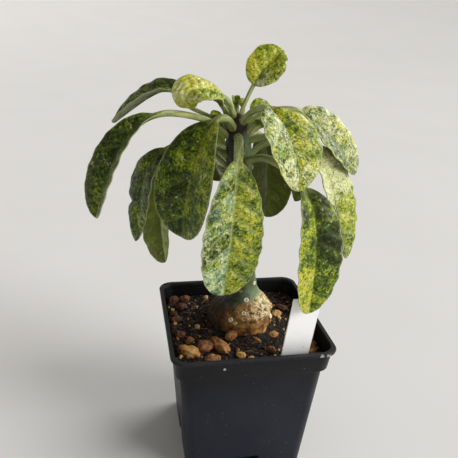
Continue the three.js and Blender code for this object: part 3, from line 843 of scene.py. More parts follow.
def loft_faces(rings: int, sides: int) -> list:
    """Faces of a closed body through rings of points, with a middle point at either end.

    Args:
        rings: number of rings.
        sides: points in each ring.

    Returns:
        Faces, where the first ring's middle and the last ring's middle are the last two points.
    """
    faces = band_faces(rings, sides)
    first, last = rings * sides, rings * sides + 1
    top = (rings - 1) * sides
    for side in range(sides):
        beside = (side + 1) % sides
        faces.append((first, beside, side))
        faces.append((last, top + side, top + beside))
    return faces


def loft_points(rings: np.ndarray) -> np.ndarray:
    """Flattens rings of points and adds the two middle points that close the ends."""
    return np.vstack([rings.reshape(-1, 3), rings[0].mean(axis=0), rings[-1].mean(axis=0)])


def rounded_square(side: float, height: float, corner_steps: int, edge_steps: int = 1) -> np.ndarray:
    """Rounded square ring at a height, anticlockwise from above.

    Args:
        side: the square's side in millimetres.
        height: the ring's height.
        corner_steps: steps round each corner.
        edge_steps: steps along each straight edge.

    Returns:
        The ring's points.
    """
    radius = side * Pot.corner_share
    reach = side / 2 - radius
    points = []
    for corner in range(4):
        middle = math.pi / 4 + corner * math.pi / 2
        centre = (math.copysign(reach, math.cos(middle)), math.copysign(reach, math.sin(middle)))
        for step in range(corner_steps + 1):
            angle = middle - math.pi / 4 + step / corner_steps * math.pi / 2
            points.append((centre[0] + radius * math.cos(angle),
                           centre[1] + radius * math.sin(angle), height))
        for step in range(1, edge_steps):
            along = (corner + 1) * math.pi / 2
            ahead = np.array([math.cos(along), math.sin(along)])
            across = np.array([-math.sin(along), math.cos(along)])
            place = ahead * side / 2 - across * reach + across * 2 * reach * step / edge_steps
            points.append((place[0], place[1], height))
    return np.array(points)


def make_rock(name: str, divisions: int, seed: int, rough: float,
              material: Material) -> Object:
    """Makes one lumpy grain about 2 across, to be scaled.

    Args:
        name: the grain's name.
        divisions: how finely it is divided.
        seed: number that fixes its lumps.
        rough: height of its lumps as a share of its radius.
        material: its finish.

    Returns:
        The grain, linked to the scene, in its own units.
    """
    shape = bmesh.new()
    bmesh.ops.create_icosphere(shape, subdivisions=divisions, radius=1.0)
    shift = Vector((seed * 7.3, seed * 3.1, seed * 5.7))
    for vertex in shape.verts:
        lump = noise.noise(vertex.co * 1.1 + shift) + 0.45 * noise.noise(vertex.co * 2.7 + shift)
        ridge = abs(noise.noise(vertex.co * 1.7 - shift))
        crease = abs(noise.noise(vertex.co * 4.6 + shift)) - 0.2
        vertex.co *= 1 + rough * (lump - 0.9 * ridge - 0.35 * crease)
    for face in shape.faces:
        face.smooth = divisions > 2
    return from_bmesh(name, shape, material)


def open_tree(name: str, kinds: dict[str, str],
              output: str) -> tuple[Tree, Node, dict[str, str]]:
    """Opens a Geometry Nodes tree with named inputs.

    Args:
        name: the tree's name.
        kinds: the type of each input, by its name.
        output: name of its one output, a geometry.

    Returns:
        The tree, its Group Input node and each input's identifier by its name.
    """
    tree = bpy.data.node_groups.new(name, "GeometryNodeTree")
    identifiers = {}
    for key, kind in kinds.items():
        socket = tree.interface.new_socket(key, in_out="INPUT", socket_type=f"NodeSocket{kind}")
        identifiers[key] = socket.identifier
    tree.interface.new_socket(output, in_out="OUTPUT", socket_type="NodeSocketGeometry")
    return tree, add_node(tree, "NodeGroupInput"), identifiers


def finish_instances(tree: Tree, given: Node, placed: Node, name: str) -> None:
    """Ends a tree: a random tint for each instance, then real geometry with its finish.

    Args:
        tree: the Geometry Nodes tree.
        given: its Group Input node.
        placed: the node that makes the instances.
        name: name of the tree's output.
    """
    tint = add_node(tree, "FunctionNodeRandomValue", {"data_type": "FLOAT"},
                    {RANDOM_FLOAT_MIN: 0.0, RANDOM_FLOAT_MAX: 1.0, "Seed": given.outputs["Seed"]})
    tinted = add_node(tree, "GeometryNodeStoreNamedAttribute", {"data_type": "FLOAT", "domain": "INSTANCE"},
                      {"Geometry": placed.outputs["Instances"], "Name": "tint",
                       "Value": tint.outputs[RANDOM_FLOAT]})
    real = add_node(tree, "GeometryNodeRealizeInstances", inputs={0: tinted})
    dressed = add_node(tree, "GeometryNodeSetMaterial",
                       inputs={"Geometry": real, "Material": given.outputs["Finish"]})
    add_node(tree, "NodeGroupOutput", inputs={name: dressed})


def run_tree(tree: Tree, carrier: Object, name: str, values: dict) -> Object:
    """Runs a Geometry Nodes tree on a carrier and makes the result a plain mesh.

    Args:
        tree: the tree.
        carrier: the object it works on, used up by this.
        name: name of the finished piece.
        values: value for each input, by its identifier.

    Returns:
        The finished piece, linked to the scene.
    """
    modifier = carrier.modifiers.new(name, "NODES")
    modifier.node_group = tree
    for identifier, value in values.items():
        modifier[identifier] = value
    return baked_copy(carrier, name)


# Stem


@dataclass
class Stem:
    """Swollen corky base and upright stem, with the scars that fallen leaves left."""

    sides: int = 112
    ring_step: float = 0.55
    stations: tuple = (
        (60, 4.0, 0.0, 4.0), (68, 10.0, 0.0, 4.0), (75, 15.2, 0.0, 4.0), (81, 18.0, 0.2, 4.0),
        (86, 18.6, 0.4, 4.0), (91, 17.4, 0.8, 4.0), (95, 14.2, 1.4, 3.8), (98, 10.8, 2.0, 3.6),
        (101, 7.8, 2.6, 3.4), (105, 6.2, 2.7, 3.2), (112, 5.6, 2.0, 2.6), (130, 5.6, -0.1, 1.0),
        (160, 6.2, -3.8, 0.0), (178, 6.8, -6.0, 0.0), (192, 6.6, -7.4, 0.0), (200, 5.2, -7.9, 0.0),
        (205, 2.4, -8.3, 0.0),
    )
    scar_first: float = 102.0
    scar_last: float = 196.0
    scar_rise: float = 2.9
    scar_turn: float = 137.5
    scar_radius: float = 1.7
    scar_clear: float = 4.4
    scar_seed: int = 4
    # Stretch over which the profile's corners are eased, and the heights where the cork ends
    ease: float = 2.4
    cork_end: tuple = (94, 102)
    flute: float = 0.035
    most_relief: float = 1.5
    # Height and direction of the scars that show on the neck and the caudex
    placed_scars: tuple = (
        (108.3, -49), (103.8, -126), (99.7, -97), (94.9, -117), (90.5, -121), (92.9, -104),
        (98.9, -59), (95.5, -47), (87.5, -28), (94.2, -99), (91.6, -97), (93.6, -92), (89.2, -112),
        (96.2, -34), (93.0, -38), (189.7, -67), (185.7, -83), (96.5, -20), (99.0, 20),
    )

    def value(self, height: float | np.ndarray, column: int) -> np.ndarray:
        """Reads the radius (1) or the centre's x (2) or y (3) at a height."""
        table = np.array(self.stations)
        return np.interp(height, table[:, 0], table[:, column])

    def centre(self, height: float) -> np.ndarray:
        """Gives the stem's axis at a height."""
        return np.array([self.value(height, 2), self.value(height, 3), height])

    def eased(self, heights: np.ndarray, column: int) -> np.ndarray:
        """Reads a column of the stations with its corners rounded off.

        Args:
            heights: the heights.
            column: 1 for the radius, 2 or 3 for the centre's x or y.

        Returns:
            The value at each height.
        """
        spread = np.linspace(-self.ease, self.ease, 9)
        weights = np.cos(spread / self.ease * math.pi / 2)
        return sum(w * self.value(heights + d, column) for w, d in zip(weights, spread)) / weights.sum()

    def build(self, finish: BarkFinish) -> Object:
        """Builds the stem and its bark relief.

        Args:
            finish: the bark.

        Returns:
            The stem.
        """
        heights = np.arange(self.stations[0][0], self.stations[-1][0] + 0.01, self.ring_step)
        angles = np.linspace(0, 2 * math.pi, self.sides, endpoint=False)
        radii = self.eased(heights, 1)[:, None] * (1 + self.flute * np.sin(3 * angles + heights[:, None] / 7))
        # Cork covers the caudex and ends at the neck
        cork = 1 - smooth_step(*self.cork_end, heights)
        rings = np.zeros((len(heights), self.sides, 3))
        bark = np.zeros_like(rings)
        axis_x, axis_y = self.eased(heights, 2), self.eased(heights, 3)
        for ring, height in enumerate(heights):
            for side, angle in enumerate(angles):
                facing = Vector((math.cos(angle), math.sin(angle), 0))
                spot = facing * radii[ring, side] + Vector((0, 0, height))
                plates = abs(noise.noise(spot * 0.28)) * 1.5
                knobs = max(0.0, noise.noise(spot * 0.45 + Vector((9, 2, 4)))) ** 1.5 * 4.2
                fine = noise.fractal(spot * 0.9, 0.6, 2.0, 3) * 0.22
                knobby = 0.35 + 0.65 * max(0.0, math.cos(angle + 0.5))
                cover = cork[ring]
                rise = cover * (plates - 0.35 + knobs * knobby + fine) + (1 - cover) * (
                    noise.noise(spot * 0.16) * 0.35 + noise.noise(spot * 0.5) * 0.12)
                reach = radii[ring, side] + min(rise, self.most_relief)
                rings[ring, side] = (axis_x[ring] + reach * facing.x, axis_y[ring] + reach * facing.y, height)
                # How far each point faces the light, for the finish's painted light and shade, then its
                # height and cork cover
                bark[ring, side] = (math.cos(angle + 0.55), height, cover)
        piece = new_piece("stem_bark", loft_points(rings), loft_faces(len(heights), self.sides),
                          finish.material())
        store(piece, "bark_place", loft_points(bark))
        settle(piece, "bark", "caudex_stem")
        return piece

    def scar_spots(self, leaves: list) -> np.ndarray:
        """Finds where old leaves grew: a spiral, less what still bears a leaf, and the placed ones.

        Args:
            leaves: the leaves still on the stem.

        Returns:
            Height and direction in degrees of each scar.
        """
        spots = list(self.placed_scars)
        feet = [self.on_bark(leaf.route[0][1] + leaf.stout, leaf.azimuth) for leaf in leaves]
        feet += [self.on_bark(height, turn) for height, turn in self.placed_scars]
        count = int((self.scar_last - self.scar_first) / self.scar_rise)
        for index in range(count):
            height, turn = self.scar_first + index * self.scar_rise, index * self.scar_turn
            place = self.on_bark(height, turn)
            if all(np.linalg.norm(place - foot) > self.scar_clear for foot in feet):
                spots.append((height, turn))
        return np.array(spots)

    def on_bark(self, height: float, turn: float) -> np.ndarray:
        """Gives the point of the bark at a height, in a direction in degrees."""
        facing = np.array([math.cos(math.radians(turn)), math.sin(math.radians(turn)), 0])
        return self.centre(height) + self.value(height, 1) * facing

    def build_scars(self, leaves: list, finish: SpeckledFinish) -> Object:
        """Sets a ringed scar on each spot with Geometry Nodes.

        Args:
            leaves: the leaves still on the stem.
            finish: the scars' chalky cork.

        Returns:
            All the scars as one piece.
        """
        spots = self.scar_spots(leaves)
        places, facings = [], []
        for height, turn in spots:
            angle = math.radians(turn)
            slope = (self.value(height + 1, 1) - self.value(height - 1, 1)) / 2
            facings.append((math.cos(angle), math.sin(angle), -slope))
            places.append(self.on_bark(height, turn))
        material = finish.material()
        carrier = new_piece("scar_spots", np.array(places), [], material)
        store(carrier, "facing", np.array(facings))
        scar = self.scar_shape(material)
        tree, given, names = open_tree("scars_on_stem", {
            "Spots": "Geometry", "Scar": "Object", "Radius": "Float", "Seed": "Int", "Finish": "Material",
        }, "Scars")
        shape = add_node(tree, "GeometryNodeObjectInfo", inputs={"Object": given.outputs["Scar"]})
        facing = add_node(tree, "GeometryNodeInputNamedAttribute", {"data_type": "FLOAT_VECTOR"},
                          {"Name": "facing"})
        turn = add_node(tree, "FunctionNodeAlignRotationToVector", {"axis": "Z"},
                        {"Vector": facing.outputs["Attribute"]})
        spread = add_node(tree, "FunctionNodeRandomValue", {"data_type": "FLOAT"},
                          {RANDOM_FLOAT_MIN: 0.6, RANDOM_FLOAT_MAX: 1.0, "Seed": given.outputs["Seed"]})
        size = add_node(tree, "ShaderNodeMath", {"operation": "MULTIPLY"},
                        {0: spread.outputs[RANDOM_FLOAT], 1: given.outputs["Radius"]})
        placed = add_node(tree, "GeometryNodeInstanceOnPoints",
                          inputs={"Points": given.outputs["Spots"], "Instance": shape.outputs["Geometry"],
                                  "Rotation": turn.outputs["Rotation"], "Scale": size})
        finish_instances(tree, given, placed, "Scars")
        piece = run_tree(tree, carrier, "leaf_scars", {
            names["Scar"]: scar, names["Radius"]: self.scar_radius * MM,
            names["Seed"]: self.scar_seed, names["Finish"]: material})
        bpy.data.objects.remove(scar)
        settle(piece, "bark")
        return piece

    def scar_shape(self, material: Material) -> Object:
        """Makes one scar of radius 1: a low disc with a raised rim and a pit.

        Args:
            material: the scar's finish.

        Returns:
            The scar.
        """
        profile = [(0.18, 0.1), (0.4, 0.3), (0.72, 0.42), (0.92, 0.3), (1.0, -0.1), (0.7, -0.7)]
        # Scars are a little lower than they are wide
        sides, squash = 14, 0.88
        angles = np.linspace(0, 2 * math.pi, sides, endpoint=False)
        rings = [np.stack([radius * np.cos(angles), squash * radius * np.sin(angles),
                           np.full(sides, rise)], axis=-1) for radius, rise in reversed(profile)]
        return new_piece("scar_shape", loft_points(np.array(rings)) / MM, loft_faces(len(rings), sides),
                         material)


# Leaves


@dataclass
class Leaf:
    """One leaf: a round petiole and a folded, quilted blade with a scalloped edge.

    The route is reach from the stem's axis and height. The right half is the one
    toward the azimuth plus 90 degrees. Stalk and stout are the petiole's length and
    radius, and a larger base or tip makes that end of the blade leaner.
    """

    node: str
    azimuth: float
    stalk: float
    stout: float
    width: float
    base: float
    tip: float
    fold: float
    roll: float
    route: tuple
    finish: LeafFinish
    # Degrees by which the tip swings aside, then relief: domes between veins and small puckers
    swing: float = 0.0
    quilt: float = 0.75
    pucker: float = 0.22
    pucker_size: float = 3.4
    vein_gap: float = 9.0
    # Each notch in the margin: place along the blade, right half or not, depth and half length
    bites: tuple = ()
    slot: str = "leaf"

    # The same for every leaf
    half_columns: int = 18
    half_thickness: float = 0.4
    wave_length: float = 9.0
    wave_height: float = 0.35
    scallop: float = 0.012
    tooth_gap: float = 3.3
    tooth: float = 0.25
    tip_radius: float = 0.5
    rib_depth: float = 0.9
    ring_step: float = 0.62
    petiole_step: float = 0.9
    sharp_edge: float = 62.0

    def spine(self, stem: Stem) -> np.ndarray:
        """Runs the leaf's midrib from the stem to the tip.

        Args:
            stem: the stem that bears the leaf.

        Returns:
            Closely spaced points along it.
        """
        centre = stem.centre(self.route[0][1])
        last = len(self.route) - 1
        points = []
        for index, (reach, height) in enumerate(self.route):
            angle = math.radians(self.azimuth + self.swing * (index / last) ** 3)
            points.append((centre[0] + reach * math.cos(angle), centre[1] + reach * math.sin(angle), height))
        return curve_through(np.array(points), 60)

    def outline(self, part: np.ndarray, along: np.ndarray, right: bool) -> np.ndarray:
        """Half width of one half of the blade.

        Args:
            part: places along the blade, from 0 at its base to 1 at its tip.
            along: the same places in millimetres.
            right: whether it is the right half.

        Returns:
            The half width at each place.
        """
        widest = self.base / (self.base + self.tip)
        peak = widest**self.base * (1 - widest) ** self.tip
        shape = part**self.base * (1 - part) ** self.tip / peak
        waves = max(2, round(along[-1] / self.wave_length))
        half = self.width / 2 * shape * (1 + self.scallop * np.cos(2 * math.pi * waves * part))
        seed = self.finish.seed * 2 + right
        shifted = along + 1.1 * smooth_noise(along, 5.0, seed)
        depth = self.tooth * (0.6 + 0.4 * smooth_noise(along, 7.0, seed + 9))
        teeth = 1 - np.abs(np.sin(math.pi * shifted / self.tooth_gap))
        half = half - depth * teeth * np.clip(half / 4, 0, 1)
        for place, on_right, bite, length in self.bites:
            if on_right == right:
                half = half - bite * np.exp(-(((along - place) / length) ** 2))
        return half

    def axes(self, spine: np.ndarray, distance: np.ndarray, travel: np.ndarray) -> tuple:
        """Finds where each ring of the leaf stands and how it is turned.

        Args:
            spine: points along the midrib.
            distance: how far along the midrib each of them is.
            travel: how far along it each ring is.

        Returns:
            Each ring's middle, its direction to the leaf's right half and its upward direction.
        """
        total, step = distance[-1], 0.4
        place, ahead, behind = (
            np.stack([np.interp(np.clip(travel + shift, 0, total), distance, spine[:, axis])
                      for axis in range(3)], axis=-1) for shift in (0, step, -step))
        along = ahead - behind
        along /= np.linalg.norm(along, axis=1)[:, None]
        angle = np.radians(self.azimuth + self.swing * (travel / total) ** 3)
        sideways = np.stack([-np.sin(angle), np.cos(angle), np.zeros_like(angle)], axis=-1)
        sideways -= (sideways * along).sum(axis=1)[:, None] * along
        sideways /= np.linalg.norm(sideways, axis=1)[:, None]
        roll = math.radians(self.roll)
        sideways = sideways * math.cos(roll) + np.cross(along, sideways) * math.sin(roll)
        return place, sideways, np.cross(along, sideways)

    def build(self, stem: Stem) -> Object:
        """Builds the leaf and notes where each point lies on it, for its finish.

        Args:
            stem: the stem that bears the leaf.

        Returns:
            The leaf.
        """
        spine = self.spine(stem)
        distance = np.concatenate([[0], np.cumsum(np.linalg.norm(np.diff(spine, axis=0), axis=1))])
        blade = distance[-1] - self.stalk
        petiole_rings = max(5, int(self.stalk / self.petiole_step))
        blade_rings = max(20, int(blade / self.ring_step))
        # Rings stand closer together toward the tip
        bladed = 1 - (1 - np.linspace(0, 1, blade_rings + 1)) ** 1.35
        travel = np.concatenate([np.linspace(0, self.stalk, petiole_rings, endpoint=False),
                                 self.stalk + blade * bladed])
        place, sideways, upward = self.axes(spine, distance, travel)

        part = np.clip((travel - self.stalk) / blade, 0, 1)
        flat = smooth_step(-0.1, 0.1, (travel - self.stalk) / blade)
        blade_mm = part * blade
        swell = self.stout * (1 + 0.3 * np.exp(-travel / 2.5))
        narrowest = np.where(part > 0.5, self.tip_radius, swell)
        halves = [np.maximum(narrowest, self.outline(part, blade_mm, right)) for right in (False, True)]
        across = np.linspace(1, -1, 2 * self.half_columns + 1)
        widths = np.where(across[None, :] > 0, halves[1][:, None], halves[0][:, None])
        reach = np.abs(across)[None, :] * widths
        sign = np.sign(across)[None, :]
        waves = max(2, round(blade / self.wave_length))
        wave = np.cos(2 * math.pi * waves * part)
        ruffle = (self.wave_height * min(1, self.width / 20) * flat * np.sin(math.pi * part) * wave)[:, None]
        ruffle = ruffle * across[None, :] ** 2 * np.sign(across + 0.1)[None, :]
        fold = math.radians(self.fold) * flat[:, None]
        arch = 0.7 * flat[:, None] * np.sin(math.pi * np.abs(across))[None, :] * np.minimum(1, widths / 8)
        lift = reach * np.sin(fold) + ruffle + arch
        middle = (place[:, None, :] + sideways[:, None, :] * (sign * reach * np.cos(fold))[..., None]
                  + upward[:, None, :] * lift[..., None])

        relief, vein, sector = self.relief(sign * reach, blade_mm[:, None] + 0 * reach, across, part)
        relief = relief * flat[:, None]
        round_half = swell[:, None] * np.sqrt(1 - 0.9 * across**2)[None, :]
        margin = 1 - 0.45 * across[None, :] ** 4
        rib = self.rib_depth * (1 - part)[:, None] * np.exp(-((reach / 1.1) ** 2))
        blend = flat[:, None]
        above = round_half * (1 - blend) + blend * (self.half_thickness * margin) + relief
        below = round_half * (1 - blend) + blend * (self.half_thickness * margin + rib) - 0.8 * relief
        top = middle + upward[:, None, :] * above[..., None]
        bottom = (middle - upward[:, None, :] * below[..., None])[:, ::-1]
        rings = np.concatenate([top, bottom], axis=1)

        def both(values: np.ndarray) -> np.ndarray:
            """Repeats a value of the upper face on the lower one."""
            return np.concatenate([values, values[:, ::-1]], axis=1)

        columns = across.size
        under = np.concatenate([np.zeros((travel.size, columns)), np.ones((travel.size, columns))], axis=1)
        below_blade = travel[:, None] - self.stalk
        along_leaf = both(np.where(part[:, None] > 0, blade_mm[:, None], below_blade) + 0 * reach)
        edge = smooth_step(0.93, 1.0, np.abs(across))[None, :] * flat[:, None]
        blade_place = np.stack([both(sign * reach), along_leaf, both(sector)], axis=-1)
        blade_marks = np.stack([both(vein * flat[:, None]), both(edge), under], axis=-1)
        stalk = both(np.repeat(1 - flat[:, None], columns, axis=1))
        piece = new_piece(f"{self.node}_blade", loft_points(rings), loft_faces(travel.size, 2 * columns),
                          self.finish.material(self.node))
        piece.data.set_sharp_from_angle(angle=math.radians(self.sharp_edge))
        store(piece, "blade_place", loft_points(blade_place))
        store(piece, "blade_marks", loft_points(blade_marks))
        store(piece, "stalk", loft_points(np.repeat(stalk[..., None], 3, axis=2))[:, 0])
        settle(piece, self.slot, self.node)
        return piece

    def relief(self, x: np.ndarray, along: np.ndarray, across: np.ndarray, part: np.ndarray) -> tuple:
        """Quilting between the side veins, and the puckers of the net of small veins.

        Args:
            x: places across from the midrib in millimetres, right positive.
            along: places along the blade in millimetres.
            across: the columns' places as shares of the half width.
            part: the rings' places as shares of the blade's length.

        Returns:
            Height of the upper face, how strongly a vein shows, and a number for each field between veins.
        """
        out = np.abs(x)
        phase = (along - 0.5 * out - 0.012 * out**2) / self.vein_gap + np.where(x > 0, 0.0, 0.45)
        phase = phase + 0.12 * smooth_noise(along, 11.0, self.finish.seed)
        nearest = np.round(phase)
        off = np.abs(phase - nearest)
        groove = np.exp(-((off * self.vein_gap / 0.75) ** 2))
        dome = 1 - (1 - 2 * off) ** 2
        share = np.abs(across)[None, :]
        cover = smooth_step(0.0, 0.16, share) * (1 - smooth_step(0.72, 1.0, share))
        cover = cover * (smooth_step(0.02, 0.16, part) * (1 - smooth_step(0.86, 1.0, part)))[:, None]
        gap = cell_borders(x + 0.8 * smooth_noise(along, 4.0, 3), along, self.pucker_size, self.finish.seed)
        net = np.exp(-((gap / 0.13) ** 2))
        midrib = np.exp(-((out / (0.85 - 0.4 * part[:, None])) ** 2))
        height = cover * (self.quilt * (dome - 0.55) - 0.18 * groove)
        height = height + cover * self.pucker * (smooth_step(0, 0.5, gap) - 0.5)
        height = height - 0.3 * midrib * (1 - part[:, None])
        shown = np.clip(share * 6, 0, 1) * (1 - 0.7 * smooth_step(0.7, 1.0, share))
        side_veins = np.maximum(0.75 * groove, 0.5 * net) * shown
        vein = np.maximum(midrib * (1.15 - 0.5 * part[:, None]), side_veins)
        field_number = hashed(np.floor(phase) * 12.9898 + np.sign(x) * 4.1 + self.finish.seed)
        return height, np.clip(vein, 0, 1), field_number


LEAVES = [
    Leaf("leaf_left_long", 198, 47, 1.6, 25, 0.75, 0.5, 24, -10,
         ((3, 190), (10, 197), (18, 202), (33, 206), (42, 206.5), (51.5, 203.5), (61, 194), (69, 178.5),
          (75.5, 159)),
         LeafFinish(0.36, 0.44, tip=0.12, cloud=0.35, seed=1), quilt=0.4),
    Leaf("leaf_left_high", 160, 25, 1.1, 25, 0.85, 0.45, 20, -12,
         ((3, 194), (13, 201), (27, 207), (33, 213), (40, 213.5), (47, 210), (55, 204), (66, 195)),
         LeafFinish(0.36, 0.42, cloud=0.35, seed=2), quilt=0.5),
    Leaf("leaf_yellow", 202, 13, 1.4, 23, 0.62, 0.6, 6, -22,
         ((2, 203), (7, 212), (15, 216), (23, 217.5), (28, 216), (29, 212), (26, 209)),
         LeafFinish(0.95, 0.68, cloud=0.25, speck=0.15, pepper=0.25, net=0.4, pale_left=0.2, pale_right=0.14,
                    vein_share=0.35, gloss=0.22, seed=3),
         quilt=0.2, pucker=1.0, pucker_size=2.8, slot="yellow_leaf"),
    Leaf("leaf_left_front", 219, 17, 2.2, 39, 0.7, 0.45, 16, 0,
         ((3, 197), (10, 203), (17, 203), (25, 197), (30, 187), (35, 167), (37, 147)),
         LeafFinish(0.4, 0.54, cloud=0.45, speck=0.45, pepper=0.78, sheen_left=0.02, seed=4),
         swing=-4, quilt=0.55),
    Leaf("leaf_left_low", 179, 36, 1.6, 22, 0.7, 0.68, 8, -24,
         ((3, 182), (18, 188), (36, 187), (46.5, 177), (50, 165), (51.5, 154), (54, 138)),
         LeafFinish(0.36, 0.34, cloud=0.3, seed=5), swing=5, quilt=0.5, bites=((33, False, 3.0, 2.2),)),
    Leaf("leaf_back_left", 140, 40, 1.5, 28, 0.6, 0.5, 14, 0,
         ((3, 172), (18, 182), (34, 181), (45, 170), (51, 154), (52, 134), (48, 108)),
         LeafFinish(0.42, 0.42, seed=6)),
    Leaf("leaf_back", 108, 20, 1.5, 22, 0.6, 0.5, 14, 0,
         ((3, 186), (14, 195), (25, 196), (31, 188), (28, 175), (18, 164)), LeafFinish(0.45, 0.42, seed=7)),
    Leaf("leaf_front", 259, 35, 2.2, 32, 0.6, 0.45, 12, -26,
         ((3, 193), (17, 195), (31, 194), (38, 187), (40, 170), (40, 145), (39, 122)),
         LeafFinish(0.54, 0.57, cloud=0.5, pepper=0.8, sheen_left=0.4, pale_left=0.13, vein=VeinTone.PALE,
                    vein_share=0.5, gloss=0.26, seed=8), swing=-6, quilt=0.95),
    Leaf("leaf_back_right", 48, 26, 1.6, 30, 0.6, 0.5, 12, 0,
         ((3, 186), (12, 191), (24, 190), (34, 180), (37, 160), (39, 137)), LeafFinish(0.36, 0.34, seed=9)),
    Leaf("leaf_right_inner", 14, 24, 1.6, 19, 0.6, 0.5, 14, 0,
         ((3, 181), (14, 188), (25, 188), (32, 181), (35.5, 169), (37, 154)), LeafFinish(0.4, 0.4, seed=10)),
    Leaf("leaf_right_front", 297, 22, 1.7, 32, 0.58, 0.6, 8, 0,
         ((3, 201), (12, 208), (22, 211), (31, 207), (40, 198), (46, 186), (47, 177)),
         LeafFinish(0.62, 0.74, tip=0.16, cloud=0.5, sheen_left=0.16, sheen_right=0.1, net=0.7, pale_left=0.16,
                    pale_right=0.04, pale_end=0.2, pale_span=(24, 42), vein=VeinTone.DARK, vein_share=0.5,
                    gloss=0.24, seed=11), quilt=0.6),
    Leaf("leaf_right_high", 347, 31, 1.6, 28, 0.5, 0.5, 12, 28,
         ((3, 198), (14, 206), (28, 208), (38, 203), (47, 196), (56, 186), (62.5, 177)),
         LeafFinish(0.6, 0.74, cloud=0.35, pepper=0.8, net=0.8, pale_left=0.04, pale_right=0.26,
                    vein=VeinTone.DARK, vein_share=0.6, gloss=0.24, seed=12), quilt=0.6),
    # Painted light: cream near the base of this blade, where the leaf above casts its shadow, stands in for a
    # glossy highlight
    Leaf("leaf_right_long", 332, 37, 1.6, 29, 0.5, 0.6, 17, 19,
         ((3, 190.5), (18, 195.5), (32, 195), (43, 186), (50.5, 171), (56.5, 154), (62, 135.5)),
         LeafFinish(0.3, 0.64, cloud=0.35, pepper=0.72, net=0.5, pale_right=0.02, pale_end=0.8,
                    vein=VeinTone.PALE, vein_share=0.6, gloss=0.24, seed=13), quilt=0.5),
    Leaf("leaf_right_low", 306, 42, 1.9, 29, 0.6, 0.5, 16, 14,
         ((3, 180), (15, 185), (26, 184), (40, 177), (49, 166), (53, 145), (53, 112)),
         LeafFinish(0.47, 0.2, tip=0.36, cloud=0.5, pepper=0.8, sheen_right=0.12, vein_share=0.4, gloss=0.42,
                    seed=14), quilt=0.4),
    # Painted light: the right half, which lies in shade, is made yellower, and the cream on the left half is
    # partly painted highlight
    Leaf("leaf_top", 12, 17, 1.0, 20, 0.5, 0.5, 16, 50,
         ((1, 203), (4, 211), (8.5, 220), (15.5, 229), (23, 235.5)),
         LeafFinish(0.74, 0.86, cloud=0.35, pale_left=0.16, gloss=0.26, seed=15),
         quilt=0.5, vein_gap=6.5, bites=((19, False, 1.6, 1.0),)),
    *(
        Leaf(f"young_leaf_{number}", azimuth, stalk, stout, width, 0.5, 0.5, fold, roll, route,
             LeafFinish(0.6, 0.64, cloud=0.2, speck=0.2, pepper=0.3, pale_left=0.08, seed=15 + number),
             quilt=0.2, vein_gap=4.0)
        for number, azimuth, stalk, stout, width, fold, roll, route in (
            (1, 161, 9, 1.35, 6, 40, 0, ((5, 199.8), (7, 206), (10.5, 210), (14, 211))),
            (2, 126, 9, 1.4, 6, 40, 0, ((5, 199), (6.5, 204), (9.5, 208.5), (12.5, 210))),
            (3, 91, 8, 1.4, 6, 40, 0, ((5, 199), (6, 205), (8, 209.5), (11, 211.5))),
            (4, 52, 7, 1.0, 6, 40, 0, ((4.5, 200), (5, 205), (6, 208.5), (8, 211))),
            (5, 182, 9, 1.2, 7.6, 30, -10, ((4, 194.3), (7.5, 200), (11, 203), (15, 203.5))),
            (6, 22, 7, 1.2, 11, 34, 20, ((4, 199), (8, 204), (13, 206.5), (20, 207))),
            (7, 8, 10, 1.3, 8, 30, 10, ((4, 191), (9, 196.5), (14, 198.5), (20, 197))),
            (8, 318, 9, 1.3, 8, 30, 0, ((4, 195), (8, 200), (12, 202), (17, 201))),
        )
    ),
]


# Potting mix


@dataclass(frozen=True)
class Scatter:
    """Grains of one kind strewn over a surface with Geometry Nodes."""

    name: str
    spacing: float
    smallest: float
    largest: float
    tilt: float
    seed: int
    most_per_m2: float = 3.0e6

    def lay(self, carrier: Object, grain: Object) -> Object:
        """Strews the grains and turns them into one plain mesh.

        Args:
            carrier: surface that bears them, used up by this.
            grain: one grain of radius 1, used up by this.

        Returns:
            The strewn grains.
        """
        tree, given, names = open_tree(self.name, {
            "Surface": "Geometry", "Grain": "Object", "Spacing": "Float", "Smallest": "Float",
            "Largest": "Float", "Tilt": "Float", "Seed": "Int", "Finish": "Material",
        }, "Grains")
        spread = add_node(tree, "GeometryNodeDistributePointsOnFaces", {"distribute_method": "POISSON"},
                          {"Mesh": given.outputs["Surface"], "Distance Min": given.outputs["Spacing"],
                           "Density Max": self.most_per_m2, "Seed": given.outputs["Seed"]})
        shape = add_node(tree, "GeometryNodeObjectInfo", inputs={"Object": given.outputs["Grain"]})
        lowest = add_node(tree, "ShaderNodeMath", {"operation": "MULTIPLY"},
                          {0: given.outputs["Tilt"], 1: -1.0})
        least = add_node(tree, "ShaderNodeCombineXYZ", inputs={0: lowest, 1: lowest})
        most = add_node(tree, "ShaderNodeCombineXYZ",
                        inputs={0: given.outputs["Tilt"], 1: given.outputs["Tilt"], 2: 2 * math.pi})
        turn = add_node(tree, "FunctionNodeRandomValue", {"data_type": "FLOAT_VECTOR"},
                        {0: least, 1: most, "Seed": given.outputs["Seed"]})
        size = add_node(tree, "FunctionNodeRandomValue", {"data_type": "FLOAT"},
                        {RANDOM_FLOAT_MIN: given.outputs["Smallest"],
                         RANDOM_FLOAT_MAX: given.outputs["Largest"], "Seed": given.outputs["Seed"]})
        placed = add_node(tree, "GeometryNodeInstanceOnPoints",
                          inputs={"Points": spread.outputs["Points"], "Instance": shape.outputs["Geometry"],
                                  "Rotation": turn, "Scale": size.outputs[RANDOM_FLOAT]})
        finish_instances(tree, given, placed, "Grains")
        piece = run_tree(tree, carrier, self.name, {
            names["Grain"]: grain, names["Spacing"]: self.spacing * MM,
            names["Smallest"]: self.smallest * MM, names["Largest"]: self.largest * MM,
            names["Tilt"]: self.tilt, names["Seed"]: self.seed,
            names["Finish"]: grain.data.materials[0]})
        bpy.data.objects.remove(grain)
        return piece


